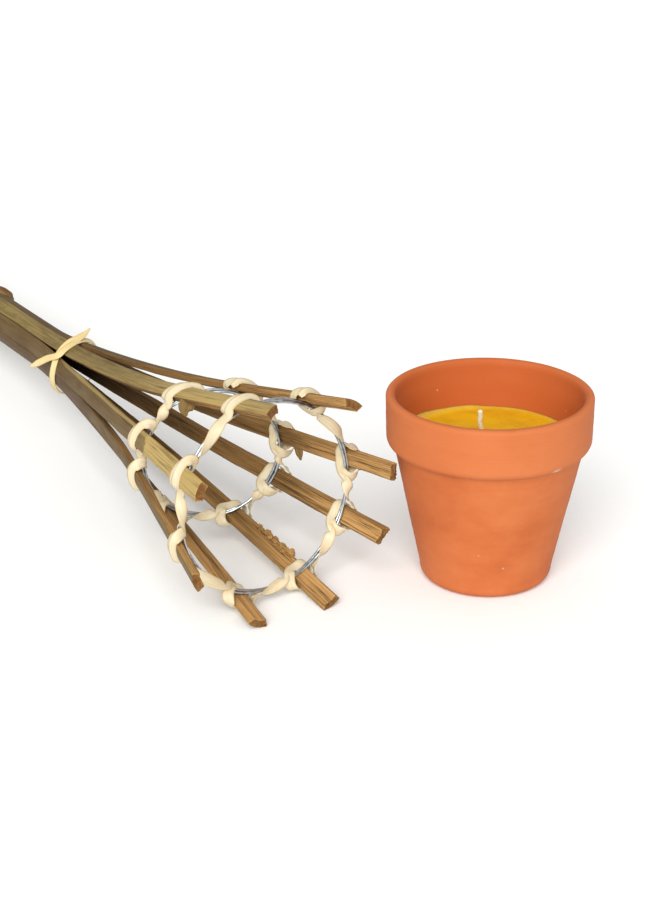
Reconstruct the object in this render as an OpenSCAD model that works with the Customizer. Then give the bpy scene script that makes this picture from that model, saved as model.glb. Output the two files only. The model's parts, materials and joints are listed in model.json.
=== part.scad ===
// Bamboo garden torch with a flower-pot candle.
// The end of a bamboo pole is split into eight slats, which are spread over two wire
// rings and lashed with peel to make a basket. The pot normally stands in that basket.
// Here the torch lies on the ground on its foot and its two lowest slats, and the pot
// stands beside the basket. The ground is z = 0, and +x runs from the foot to the basket.

/* [Pole] */
// Outer diameter of the pole
pole_d = 29; // [27:0.5:31]
// Thickness of the bamboo wall
wall_t = 4.3; // [3.8:0.1:5]
// Distance from the foot to the first knot
first_knot = 130; // [120:2:140]
// Distance between knots
internode = 144; // [140:1:150]
// Height of a knot's ridge above the pole
ridge_h = 1.4; // [0.8:0.1:2]
// Width of the saw cuts between the slats where they are still together
kerf = 0.5; // [0.3:0.1:0.8]

/* [Basket] */
// Distance from the foot to the tie round the pole
tie_at = 578; // [570:2:590]
// Distance from the tie to the lower ring
tie_to_lower = 199; // [185:1:215]
// Distance from the lower ring to the upper ring
ring_gap = 70; // [60:1:80]
// Radius of the lower ring to the middle of its wire
lower_r = 37.2; // [36:0.1:40]
// Radius of the upper ring to the middle of its wire
upper_r = 52.2; // [52:0.1:53]
// Diameter of the ring wire
wire_d = 1.5; // [1.2:0.1:1.8]
// Width of the lashing peel
peel_w = 5.4; // [4:0.2:7]
// Thickness of the lashing peel
peel_t = 0.5; // [0.3:0.1:0.8]

/* [Pot] */
// Outer radius of the pot at its rim
rim_r = 55.4; // [54.4:0.2:56]
// Height of the pot
pot_h = 105; // [98:1:110]
// Height of the collar
collar_h = 28; // [24:0.5:30]
// Radius of the body just under the collar
neck_r = 51; // [50:0.1:51]
// Radius of the base, before its rounded edge
base_r = 36; // [33:0.5:37]
// Thickness of the wall
pot_wall = 5.8; // [5:0.2:7]
// Depth of the wax below the rim
wax_depth = 26.5; // [20:0.5:30]
// Diameter of the wick
wick_d = 2.4; // [2:0.1:3]
// How far the pot stands ahead of the upper ring's centre
pot_ahead = 29; // [26:1:32]
// How far the pot stands to the side of the upper ring's centre
pot_aside = 119; // [118:1:126]

/* [Hidden] */
$fn = 96;

// Slats, one entry each: bearing round each ring in degrees from +y towards +z,
// length past the upper ring, and the slant of the end cut
SLATS = 8;
split_bearing = 108;
lower_bearing = [113, 159, 192, 235, 287, 331, 368, 424];
upper_bearing = [105, 153, 194, 249, 292, 334, 368, 419];
past_ring = [40, 36, 38, 22.5, 27, 29, 32, 38];
end_slant = [38, 6, 0, 8, -5, 12, 6, -8];

// The rings lean a little, as hand-bent rings do: tangents of the lean across and up
upper_lean = [-0.126, 0.01];
lower_lean = [0.28, 0.06];
lower_centre_off = [2, 2];

// Pole
pole_r = pole_d / 2;
bore_r = pole_r - wall_t;
split_knot = first_knot + 2 * internode;
knots = [first_knot, first_knot + internode, split_knot];
split_at = split_knot + 12;
knot_profile = [[-9, 0], [-5, 0.2], [-2, 0.5], [-0.8, 1], [0, 1], [0.8, 0.7], [2, 0.55],
    [5, 0.85], [8, 0.5], [11, 0]];
diaphragm_t = 3;
weep_r = 1.5;
stub_bearing = 58;

// Slats
wall_mid_r = pole_r - wall_t / 2;
half_slat = 180 / SLATS - asin(kerf / 2 / wall_mid_r);
flare_at = tie_at - 48;
lower_x = tie_at + tie_to_lower;
upper_x = lower_x + ring_gap;
slat_out = 4.1;
flare_steps = 9;
// Shares of the flare that the slat keeps its old and its new direction for
bend_near = 0.1;
bend_far = 0.38;
ARC_PTS = 4;

// Ring wire: two turns side by side with a short overlap
wire_r = wire_d / 2;
wire_pitch = wire_d + 0.2;
wire_turns = 2.05;
WIRE_STEP = 7.5;
WIRE_SIDES = 8;

// Peel lashings: out of the wire's way between slats and over each slat
peel_on_wire = wire_r + 0.15;
peel_on_slat = slat_out + wall_t / 2 + 1.1;
crest_half = 4.6;
crest_fall = 5;

// Tie: a band that leans towards the basket on one side
tie_r = 18.9;
tie_w = 4;
tie_lean_bearing = 138;
tie_lean = 0.6;
tie_cone = 0.9;

// Pot
collar_z = pot_h - collar_h;
floor_z = 8;
hole_r = 7;
wax_z = pot_h - wax_depth;
gap = 0.1;
foot_round = 6;
wick_at = [-5, -1, 0];
wick_out = 14.5;

// Lists of points

// Slat i's point of crossing, or any point round a ring, moved out by dr and along by dx
function round_ring(centre, r, lean, bearing, dr = 0, dx = 0) =
    let (c = (r + dr) * cos(bearing), s = (r + dr) * sin(bearing))
    centre + [lean[0] * c + lean[1] * s + dx, c, s];
function upper(bearing, dr = 0, dx = 0) =
    round_ring([upper_x, 0, 0], upper_r, upper_lean, bearing, dr, dx);
function lower(bearing, dr = 0, dx = 0) =
    round_ring(concat(lower_x, lower_centre_off), lower_r, lower_lean, bearing, dr, dx);

function unit(v) = v / norm(v);
function bezier(p, t) =
    pow(1 - t, 3) * p[0] + 3 * t * pow(1 - t, 2) * p[1] + 3 * t * t * (1 - t) * p[2]
    + pow(t, 3) * p[3];
function bezier_dir(p, t) =
    unit(pow(1 - t, 2) * (p[1] - p[0]) + 2 * t * (1 - t) * (p[2] - p[1])
    + t * t * (p[3] - p[2]));

// Stations along slat i, each a place and a direction: straight in the pole, a flare
// from the tie to the lower ring, and straight from there to the end
function slat_stations(i) =
    let (b = split_bearing + 360 / SLATS * i,
        off = [0, wall_mid_r * cos(b), wall_mid_r * sin(b)],
        ahead = [1, 0, 0],
        low = lower(lower_bearing[i], slat_out),
        up = upper(upper_bearing[i], slat_out),
        along = unit(up - low),
        start = off + flare_at * ahead,
        reach = norm(low - start),
        p = [start, start + bend_near * reach * ahead, low - bend_far * reach * along, low])
    concat([[off + split_at * ahead, ahead]],
        [for (k = [0 : flare_steps]) [bezier(p, k / flare_steps), bezier_dir(p, k / flare_steps)]],
        [[up, along], [up + past_ring[i] * along, along]]);

// Section of a slat: a sector of the pole's wall, about the middle of its thickness
function slat_section() = concat(
    [for (k = [0 : ARC_PTS]) let (a = half_slat * (2 * k / ARC_PTS - 1))
        [pole_r * cos(a) - wall_mid_r, pole_r * sin(a)]],
    [for (k = [0 : ARC_PTS]) let (a = half_slat * (1 - 2 * k / ARC_PTS))
        [bore_r * cos(a) - wall_mid_r, bore_r * sin(a)]]);

// The section placed at a station, with its outer face away from the pole's axis
function slat_ring(station, slant = 0) =
    let (p = station[0], t = station[1],
        radial = [0, p[1], p[2]],
        n = unit(radial - (radial * t) * t),
        b = cross(t, n))
    [for (q = slat_section()) p + q[0] * n + q[1] * b + q[1] * tan(slant) * t];

function slat_rings(i) =
    let (st = slat_stations(i), last = len(st) - 1)
    [for (k = [0 : last]) slat_ring(st[k], k == last ? end_slant[i] : 0)];

// Lie of the torch: the foot's edge and the lowest slat corner touch the ground
end_corners = [for (i = [0 : SLATS - 1]) let (r = slat_rings(i)) each r[len(r) - 1]];
lean_up = max([for (p = end_corners) atan((-p[2] - pole_r) / p[0])]);
function lying(p) = [p[0] * cos(lean_up) - p[2] * sin(lean_up), p[1],
    p[0] * sin(lean_up) + p[2] * cos(lean_up) + pole_r * cos(lean_up)];
lying_corners = [for (p = end_corners) lying(p)];

// The origin is under the middle of the whole set
pot_x = lying([upper_x, 0, 0])[0] + pot_ahead;
pot_y = pot_aside;
mid_x = (pot_x + rim_r - pole_r * sin(lean_up)) / 2;
mid_y = (min([for (p = lying_corners) p[1]]) + pot_y + rim_r) / 2;

// Shapes

// Skin over a row of rings of points. Each ring runs anticlockwise seen from the next.
module skin(rings, closed = false) {
    n = len(rings);
    m = len(rings[0]);
    side = [for (i = [0 : n - (closed ? 1 : 2)], j = [0 : m - 1])
        let (k = (j + 1) % m, a = i * m, b = (i + 1) % n * m)
        each [[a + j, b + k, a + k], [a + j, b + j, b + k]]];
    ends = closed ? [] :
        [[for (j = [0 : m - 1]) j], [for (j = [m - 1 : -1 : 0]) (n - 1) * m + j]];
    polyhedron(points = [for (r = rings) each r], faces = concat(side, ends));
}

// Puts a shape of the torch, made with the pole along x, where the torch lies
module lay_down() {
    translate([-mid_x, -mid_y, pole_r * cos(lean_up)]) rotate([0, -lean_up, 0]) children();
}

// Puts a shape of the pot, made standing on z = 0, where the pot stands
module stand_beside() {
    translate([pot_x - mid_x, pot_y - mid_y, 0]) children();
}

// Pole, hollow between its knots, with each wall at a knot pierced
module pole() {
    outside = [for (k = knots, q = knot_profile) [pole_r + q[1] * ridge_h, k + q[0]]];
    inside = [for (k = [2 : -1 : 0])
        each [[bore_r, knots[k] + diaphragm_t / 2], [weep_r, knots[k] + diaphragm_t / 2],
            [weep_r, knots[k] - diaphragm_t / 2], [bore_r, knots[k] - diaphragm_t / 2]]];
    color("#8a7250") lay_down() {
        rotate([0, 90, 0]) rotate_extrude()
            polygon(concat([[bore_r, 0], [pole_r, 0]], outside,
                [[pole_r, split_at], [bore_r, split_at]], inside));
        rotate([stub_bearing, 0, 0]) translate([split_knot + 2, pole_r - 1.2, 0])
            rotate([-90, 0, -35]) cylinder(r1 = 4, r2 = 3.2, h = 3.4, $fn = 48);
    }
}

module slat(i) {
    color("#9a7a4c") lay_down() skin(slat_rings(i));
}

// Two turns of wire round a ring, side by side
module ring_wire(is_upper, start) {
    steps = round(wire_turns * 360 / WIRE_STEP);
    color("#9aa0a6") lay_down() skin([for (k = [0 : steps])
        let (turn = k * WIRE_STEP, mid = wire_pitch * (turn / 360 - wire_turns / 2))
        [for (j = [0 : WIRE_SIDES - 1])
            let (a = 360 / WIRE_SIDES * j, dr = wire_r * sin(a), dx = mid + wire_r * cos(a))
            is_upper ? upper(start + turn, dr, dx) : lower(start + turn, dr, dx)]]);
}

// How far a lashing stands off the wire at a bearing: 1 over a slat, 0 between slats
function crest(bearing, at_slats, r) =
    let (off = min([for (s = at_slats) abs(((bearing - s + 540) % 360) - 180)]) * PI / 180 * r,
        t = min(1, max(0, (off - crest_half) / crest_fall)))
    (1 + cos(180 * t)) / 2;

// Bearings round a lashing: close together over the slats, where it bends, and then
// evenly on round to the next slat
function lashing_bearings(at_slats, r) =
    let (n = len(at_slats), bends = [4.8, 6.5, 8, 9.5], per_mm = 180 / PI / r)
    [for (i = [0 : n - 1])
        let (s = at_slats[i],
            span = (at_slats[(i + 1) % n] - s + 720) % 360 / per_mm,
            free = span - 2 * bends[3])
        each [for (d = concat([0], bends, [for (k = [1 : 4]) bends[3] + free * k / 5],
            [for (k = [3 : -1 : 0]) span - bends[k]])) s + d * per_mm]];

// Band of peel that runs along the wire and over every slat
module lashing(is_upper) {
    r = is_upper ? upper_r : lower_r;
    at_slats = is_upper ? upper_bearing : lower_bearing;
    color("#ecd6a4") lay_down() skin([for (b = lashing_bearings(at_slats, r))
        let (dr = peel_on_wire + (peel_on_slat - peel_on_wire) * crest(b, at_slats, r))
        [for (q = [[-1, 0], [1, 0], [1, 1], [-1, 1]])
            let (out = dr + q[1] * peel_t, dx = q[0] * peel_w / 2)
            is_upper ? upper(b, out, dx) : lower(b, out, dx)]], closed = true);
}

// Loose end of the tie: a flat strip through the given points
module tie_end(points, side, thick) {
    skin([for (p = points) [p - side, p + side, p + side + thick, p - side + thick]]);
}

// Tie of peel round the slats where they leave the pole
module pole_tie() {
    lean = tie_lean * [cos(tie_lean_bearing), sin(tie_lean_bearing)];
    color("#e8cf98") lay_down() {
        skin([for (b = [0 : WIRE_STEP : 359])
            let (dr = tie_cone * cos(b - tie_lean_bearing))
            [for (q = [[-1, 0], [1, 0], [1, 1], [-1, 1]])
                round_ring([tie_at, 0, 0], tie_r, lean, b, dr + q[1] * peel_t, q[0] * tie_w / 2)]],
            closed = true);
        translate([tie_at, 0, 0]) {
            tie_end([[8, -4, 19.2], [6, 3, 20.6], [2, 10, 24.2]], [-tie_w / 2, 0, 0], [0, 0, peel_t]);
            tie_end([[10.6, -18.8, 6], [-4, -24, 5], [-18, -30, 3]], [0, 0, -tie_w / 2], [peel_t, -peel_t, 0] / 2);
        }
    }
}

// Half outline of the pot's outside, from the hole in its base to the rim
pot_outside = concat(
    [[hole_r, 0]],
    [for (a = [-90 : 15 : 0]) [base_r - foot_round, foot_round] + foot_round * [cos(a), sin(a)]],
    [[neck_r, collar_z]],
    [for (a = [-75 : 25 : 0]) [rim_r - 4.6 + 4 * cos(a), collar_z + 4.4 + 4.4 * sin(a)]],
    [for (a = [0 : 30 : 90]) [rim_r - 1.6 + 1.6 * cos(a), pot_h - 1.6 + 1.6 * sin(a)]]);

// Inner radius of the pot at a height
function inner_r(z) = z > collar_z
    ? neck_r - pot_wall + (z - collar_z) * (rim_r - 6.2 - neck_r + pot_wall) / collar_h
    : base_r - pot_wall + (z - floor_z) * (neck_r - base_r) / (collar_z - floor_z);

// Terracotta pot with a collar and a drain hole
module pot() {
    color("#d0693a") stand_beside() rotate_extrude($fn = 144)
        polygon(concat(pot_outside,
            [[rim_r - 5, pot_h], [rim_r - 5.8, pot_h - 0.5], [rim_r - 6.2, pot_h - 1.8]],
            [[inner_r(collar_z), collar_z], [inner_r(floor_z + 5), floor_z + 5],
                [inner_r(floor_z) - 4, floor_z], [hole_r, floor_z]]));
}

// Wax, with a channel for the wick and a pocket for its sustainer
module wax() {
    edge_r = inner_r(wax_z) - gap;
    color("#e0aa20") stand_beside() difference() {
        rotate_extrude($fn = 144)
            polygon([[0, floor_z + gap / 2], [inner_r(floor_z) - 4 - gap, floor_z + gap / 2],
                [inner_r(floor_z + 5) - gap, floor_z + 5], [inner_r(collar_z) - gap, collar_z],
                [edge_r, wax_z + 1.6], [edge_r - 0.8, wax_z + 1.5], [edge_r - 2.4, wax_z + 0.4],
                [edge_r - 6, wax_z], [0, wax_z]]);
        translate(wick_at) {
            cylinder(r = wick_d / 2 + gap, h = pot_h);
            cylinder(r = 2.6, h = floor_z + 6.3);
            cylinder(r = 10.3, h = floor_z + 0.7);
        }
    }
}

// Waxed wick, upright in the wax and leaning over above it
module wick() {
    wick_r = wick_d / 2;
    places = [[0, 0, floor_z + 0.7], [0, 0, wax_z], [-0.2, -0.4, wax_z + 4], [-0.6, -1.1, wax_z + 8],
        [-1.1, -2, wax_z + 11.5], [-1.6, -3, wax_z + wick_out]];
    color("#f0ead8") stand_beside() translate(wick_at) skin([for (p = places)
        [for (j = [0 : 9]) p + wick_r * [cos(36 * j), sin(36 * j), 0]]]);
}

// Tinned disc and neck that hold the wick upright on the pot's floor
module wick_sustainer() {
    color("#c8c8c4") stand_beside() translate(wick_at + [0, 0, floor_z + gap / 2]) difference() {
        union() {
            cylinder(r = 10, h = 0.4);
            cylinder(r = 2.4, h = 6);
        }
        translate([0, 0, -1]) cylinder(r = wick_d / 2 + gap, h = 8);
    }
}

// Plug that keeps the wax from running out of the drain hole
module drain_plug() {
    color("#b98d5c") stand_beside() translate([0, 0, 1.5])
        cylinder(r1 = hole_r - 0.25, r2 = hole_r - gap, h = floor_z - 1.5);
}

pole();
slat(0);  // slat_1
slat(1);  // slat_2
slat(2);  // slat_3
slat(3);  // slat_4
slat(4);  // slat_5
slat(5);  // slat_6
slat(6);  // slat_7
slat(7);  // slat_8
ring_wire(true, 228);  // upper_ring
ring_wire(false, 250);  // lower_ring
lashing(true);  // upper_lashing
lashing(false);  // lower_lashing
pole_tie();
pot();
wax();
wick();
wick_sustainer();
drain_plug();
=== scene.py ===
"""Bamboo garden torch with a flower-pot candle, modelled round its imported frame.

The pole's end is split into eight slats, spread over two wire rings and lashed with
peel. The frame is in metres. Torch parts are worked out in millimetres in the torch's
own axes (along the pole from its foot, across, and up) and then placed in the frame.
"""

import json
import logging
import math
from collections.abc import Callable
from dataclasses import dataclass, field
from enum import Enum, IntEnum

import bmesh
import bpy
import numpy as np
from mathutils import Matrix, Vector


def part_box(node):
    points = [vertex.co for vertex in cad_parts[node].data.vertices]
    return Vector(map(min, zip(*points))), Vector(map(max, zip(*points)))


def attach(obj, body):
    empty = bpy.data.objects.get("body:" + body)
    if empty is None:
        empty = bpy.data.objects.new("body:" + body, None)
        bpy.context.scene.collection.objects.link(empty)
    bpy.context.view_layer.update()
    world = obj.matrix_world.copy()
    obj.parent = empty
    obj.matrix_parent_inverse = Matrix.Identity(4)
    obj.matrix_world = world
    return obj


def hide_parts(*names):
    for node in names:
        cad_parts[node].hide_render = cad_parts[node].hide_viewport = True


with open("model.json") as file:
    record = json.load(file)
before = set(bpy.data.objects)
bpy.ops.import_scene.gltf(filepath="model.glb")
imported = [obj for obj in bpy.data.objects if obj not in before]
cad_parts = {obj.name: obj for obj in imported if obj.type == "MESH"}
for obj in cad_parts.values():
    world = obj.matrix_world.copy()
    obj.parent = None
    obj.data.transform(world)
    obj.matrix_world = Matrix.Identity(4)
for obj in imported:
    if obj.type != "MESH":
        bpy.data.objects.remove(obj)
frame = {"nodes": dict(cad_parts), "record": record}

MM = 0.001
# The slats split from the culm: how many, and the first one's bearing and the pitch, in
# degrees from across towards up
SLATS, FIRST_BEARING, PITCH = 8, 108, 45
# Sockets of a colour mix node, by number, since its names repeat
MIX_FACTOR, MIX_A, MIX_B, MIX_COLOUR = 0, 6, 7, 2
LOG = logging.getLogger("torch")
Array, Piece = np.ndarray, bpy.types.Object
Material, Socket = bpy.types.Material, bpy.types.NodeSocket


class Body(Enum):
    """The frame's moving bodies."""

    TORCH = "torch"
    POT = "pot"


class Slot(Enum):
    """The record's material slots."""

    SKIN = "bamboo_skin"
    SPLIT = "split_bamboo"
    WIRE = "galvanised_wire"
    PEEL = "peel"
    CLAY = "terracotta"
    WAX = "wax"
    COTTON = "cotton"
    TINPLATE = "tinplate"
    CORK = "cork"


class Side(IntEnum):
    """The faces of a slat, in order round its section."""

    SKIN = 0
    RISING = 1
    BORE = 2
    FALLING = 3


# ---------------------------------------------------------------- numbers and shapes


def lattice_value(iu: Array, iv: Array, seed: int) -> Array:
    """Gives a repeatable random value at whole-number places.

    Args:
        iu: First whole-number coordinate.
        iv: Second whole-number coordinate.
        seed: Which pattern to take.

    Returns:
        Values from -1 to 1.
    """
    # Large multipliers scatter neighbouring places; 32 bits are kept, and 16 used
    mixed = (iu.astype(np.int64) * 374761393 + iv.astype(np.int64) * 668265263
             + seed * 974634777) & 0xFFFFFFFF
    mixed = ((mixed ^ (mixed >> 13)) * 1274126177) & 0xFFFFFFFF
    return ((mixed ^ (mixed >> 16)) & 0xFFFF) / 32767.5 - 1.0


def smooth_noise(u: Array, v: Array, seed: int, octaves: int = 1) -> Array:
    """Gives smooth repeatable noise with features one unit across.

    Args:
        u: First coordinate.
        v: Second coordinate.
        seed: Which pattern to take.
        octaves: How many finer layers to add.

    Returns:
        Values from about -1 to 1.
    """
    u, v = np.broadcast_arrays(np.asarray(u, float), np.asarray(v, float))
    total = np.zeros(u.shape)
    for layer in range(octaves):
        au, av = u * 2 ** layer, v * 2 ** layer
        iu, iv = np.floor(au), np.floor(av)
        fu, fv = au - iu, av - iv
        fu, fv = fu * fu * (3 - 2 * fu), fv * fv * (3 - 2 * fv)
        own = seed + 31 * layer
        near = lattice_value(iu, iv, own) * (1 - fu) + lattice_value(iu + 1, iv, own) * fu
        far = (lattice_value(iu, iv + 1, own) * (1 - fu)
               + lattice_value(iu + 1, iv + 1, own) * fu)
        total = total + (near * (1 - fv) + far * fv) / 2 ** layer
    return total / (2 - 2 ** (1 - octaves))


def step_between(value: Array, low: float, high: float) -> Array:
    """Rises smoothly from 0 at low to 1 at high.

    Args:
        value: Where to look.
        low: Where the rise starts.
        high: Where the rise ends.

    Returns:
        Values from 0 to 1.
    """
    t = np.clip((np.asarray(value, float) - low) / (high - low), 0, 1)
    return t * t * (3 - 2 * t)


def unit(vectors: Array) -> Array:
    """Returns the vectors at length one."""
    length = np.linalg.norm(vectors, axis=-1, keepdims=True)
    return vectors / np.maximum(length, 1e-12)


def square_to(vectors: Array, ahead: Array) -> Array:
    """Turns vectors square to the unit vectors ahead, at length one."""
    return unit(vectors - (vectors * ahead).sum(1, keepdims=True) * ahead)


def full_turn(count: int) -> Array:
    """Gives angles in radians, evenly spaced round a circle."""
    return np.linspace(0, 2 * np.pi, count, endpoint=False)


def run_along(path: Array) -> Array:
    """Gives the distance run at each place of a path."""
    return np.concatenate([[0], np.cumsum(np.linalg.norm(np.diff(path, axis=0), axis=1))])


def smooth_path(keys: Array, step: float) -> Array:
    """Draws a smooth curve through key rows, evenly spaced along its first three columns.

    Args:
        keys: Key rows; the first three columns are the place.
        step: Distance between the samples.

    Returns:
        Sampled rows with the same columns.
    """
    gaps = np.linalg.norm(np.diff(keys[:, :3], axis=0), axis=1) ** 0.5
    knots = np.concatenate([[0], np.cumsum(np.maximum(gaps, 1e-6))])
    slope = np.gradient(keys, knots, axis=0)
    rows = []
    for k in range(len(keys) - 1):
        width = knots[k + 1] - knots[k]
        t = np.linspace(0, 1, 25)[:, None]
        rows.append((2 * t ** 3 - 3 * t ** 2 + 1) * keys[k]
                    + (t ** 3 - 2 * t ** 2 + t) * width * slope[k]
                    + (3 * t ** 2 - 2 * t ** 3) * keys[k + 1]
                    + (t ** 3 - t ** 2) * width * slope[k + 1])
    dense = np.concatenate(rows)
    run = run_along(dense[:, :3])
    places = np.linspace(0, run[-1], max(2, int(run[-1] / step) + 1))
    return np.stack([np.interp(places, run, dense[:, c])
                     for c in range(dense.shape[1])], axis=1)


def smoothed(rows: Array, passes: int, closed: bool = False) -> Array:
    """Evens out a row of values by averaging neighbours.

    Args:
        rows: The values, one row each.
        passes: How many times to average.
        closed: Whether the last row runs on to the first.

    Returns:
        The evened rows; open ends stay in place.
    """
    out = np.array(rows, float)
    for _ in range(passes):
        before, after = np.roll(out, 1, axis=0), np.roll(out, -1, axis=0)
        even = 0.25 * before + 0.5 * out + 0.25 * after
        if not closed:
            even[0], even[-1] = out[0], out[-1]
        out = even
    return out


def grid_faces(rows: int, columns: int, closed_rows: bool, closed_columns: bool) -> Array:
    """Lists the quads of a grid of points.

    Args:
        rows: Number of rows.
        columns: Points in each row.
        closed_rows: Whether the last row joins the first.
        closed_columns: Whether each row is a closed ring.

    Returns:
        Point numbers, four to a face.
    """
    i = np.arange(rows if closed_rows else rows - 1)[:, None]
    j = np.arange(columns if closed_columns else columns - 1)[None, :]
    below, above = i * columns, (i + 1) % rows * columns
    after = (j + 1) % columns
    quads = np.stack([below + j, below + after, above + after, above + j], axis=-1)
    return quads.reshape(-1, 4)


def tube_faces(rows: int, columns: int, inward: bool = False) -> list[list[int]]:
    """Lists the faces of a tube of rings with a cap at each end.

    Args:
        rows: Number of rings.
        columns: Points in each ring.
        inward: Whether to turn every face over.

    Returns:
        Point numbers of each face.
    """
    faces = [list(face) for face in grid_faces(rows, columns, False, True)]
    faces.append(list(range(columns))[::-1])
    faces.append(list(range((rows - 1) * columns, rows * columns)))
    return [face[::-1] for face in faces] if inward else faces


def make_piece(name: str, points: Array, faces: list, marks: dict[str, tuple],
               smooth: bool = True) -> Piece:
    """Makes a mesh object at the frame's origin.

    Args:
        name: The piece's name.
        points: Vertex places in metres, as a row or a grid of them.
        faces: Vertex numbers of each face.
        marks: Three values that its finish reads at each vertex, by name; each is a
            number, or an array that spreads over the row or grid.
        smooth: Whether the faces shade smoothly.

    Returns:
        The new object.
    """
    mesh = bpy.data.meshes.new(name)
    mesh.from_pydata(points.reshape(-1, 3).tolist(), [],
                     [list(map(int, face)) for face in faces])
    mesh.update()
    for mark, parts in marks.items():
        values = np.stack([np.broadcast_to(p, points.shape[:-1]) for p in parts], axis=-1)
        layer = mesh.attributes.new(mark, "FLOAT_VECTOR", "POINT")
        layer.data.foreach_set("vector", values.astype(np.float32).ravel())
    mesh.polygons.foreach_set("use_smooth", [smooth] * len(mesh.polygons))
    piece = bpy.data.objects.new(name, mesh)
    bpy.context.scene.collection.objects.link(piece)
    return piece


def hand_over(piece: Piece, material: Material, body: Body,
              slot: Slot, *nodes: str) -> None:
    """Dresses a piece, tells the frame its body, and hides the nodes it replaces.

    Args:
        piece: The finished piece.
        material: Its finish.
        body: The body it moves with.
        slot: The record's material slot; not used.
        nodes: The nodes it replaces.
    """
    piece.data.materials.append(material)
    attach(piece, body.value)
    if nodes:
        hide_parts(*nodes)
    LOG.info("%s: %d faces", piece.name, len(piece.data.polygons))


def node_mesh(name: str) -> tuple[Array, Array]:
    """Reads a frame node's mesh.

    Args:
        name: The node's name.

    Returns:
        Vertex places in metres, and the vertex numbers of its triangles.
    """
    mesh = frame["nodes"][name].data
    places = np.zeros(len(mesh.vertices) * 3)
    mesh.vertices.foreach_get("co", places)
    mesh.calc_loop_triangles()
    corners = np.zeros(len(mesh.loop_triangles) * 3, int)
    mesh.loop_triangles.foreach_get("vertices", corners)
    return places.reshape(-1, 3), corners.reshape(-1, 3)


def section_centres(points: Array, triangles: Array,
                    stations: Array) -> Array:
    """Finds the middles of a closed mesh's sections by planes across its first axis.

    Args:
        points: Vertex places.
        triangles: Vertex numbers of its triangles.
        stations: Where along the first axis to cut.

    Returns:
        One place per station.
    """
    corners = points[triangles]
    normals = np.cross(corners[:, 1] - corners[:, 0], corners[:, 2] - corners[:, 0])
    centres = []
    for x in stations:
        above = corners[:, :, 0] > x
        area, moment = 0.0, np.zeros(2)
        for k in np.nonzero(above.any(axis=1) & ~above.all(axis=1))[0]:
            ends = []
            for a, b in ((0, 1), (1, 2), (2, 0)):
                if above[k, a] != above[k, b]:
                    p, q = corners[k, a], corners[k, b]
                    ends.append((p + (q - p) * (x - p[0]) / (q[0] - p[0]))[1:])
            (py, pz), (qy, qz) = ends
            if normals[k, 1] * (qz - pz) - normals[k, 2] * (qy - py) < 0:
                (py, pz), (qy, qz) = (qy, qz), (py, pz)
            twice = py * qz - pz * qy
            area += twice
            moment += twice * np.array([py + qy, pz + qz])
        centres.append([x, *(moment / (3 * area))])
    return np.array(centres)


# ---------------------------------------------------------------- finishes


def linear(hex_colour: str) -> tuple[float, float, float, float]:
    """Turns an sRGB hex colour to linear light.

    Args:
        hex_colour: Such as "c8aa72".

    Returns:
        Red, green, blue and alpha.
    """
    parts = [int(hex_colour[k:k + 2], 16) / 255 for k in (0, 2, 4)]
    light = [c / 12.92 if c <= 0.04045 else ((c + 0.055) / 1.055) ** 2.4 for c in parts]
    return (*light, 1.0)


def feed(node: bpy.types.Node, inputs: dict) -> None:
    """Sets a node's inputs.

    Args:
        node: The node.
        inputs: Values, or sockets to link from, by input name or number.
    """
    for key, value in inputs.items():
        if isinstance(value, Socket):
            node.id_data.links.new(value, node.inputs[key])
        else:
            node.inputs[key].default_value = value


def add_node(tree: bpy.types.NodeTree, kind: str, settings: dict | None = None,
             inputs: dict | None = None, stops: tuple = ()) -> bpy.types.Node:
    """Adds a node with its settings, its inputs and the stops of its ramp.

    Args:
        tree: The material's node tree.
        kind: The node's type name.
        settings: Property values by name.
        inputs: Values, or sockets to link from, by input name or number.
        stops: Places and hex colours of a colour ramp.

    Returns:
        The new node.
    """
    node = tree.nodes.new(kind)
    for key, value in (settings or {}).items():
        setattr(node, key, value)
    feed(node, inputs or {})
    if stops:
        ramp = node.color_ramp
        while len(ramp.elements) < len(stops):
            ramp.elements.new(1.0)
        for element, (place, colour) in zip(ramp.elements, stops, strict=True):
            element.position, element.color = place, linear(colour)
    return node


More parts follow.
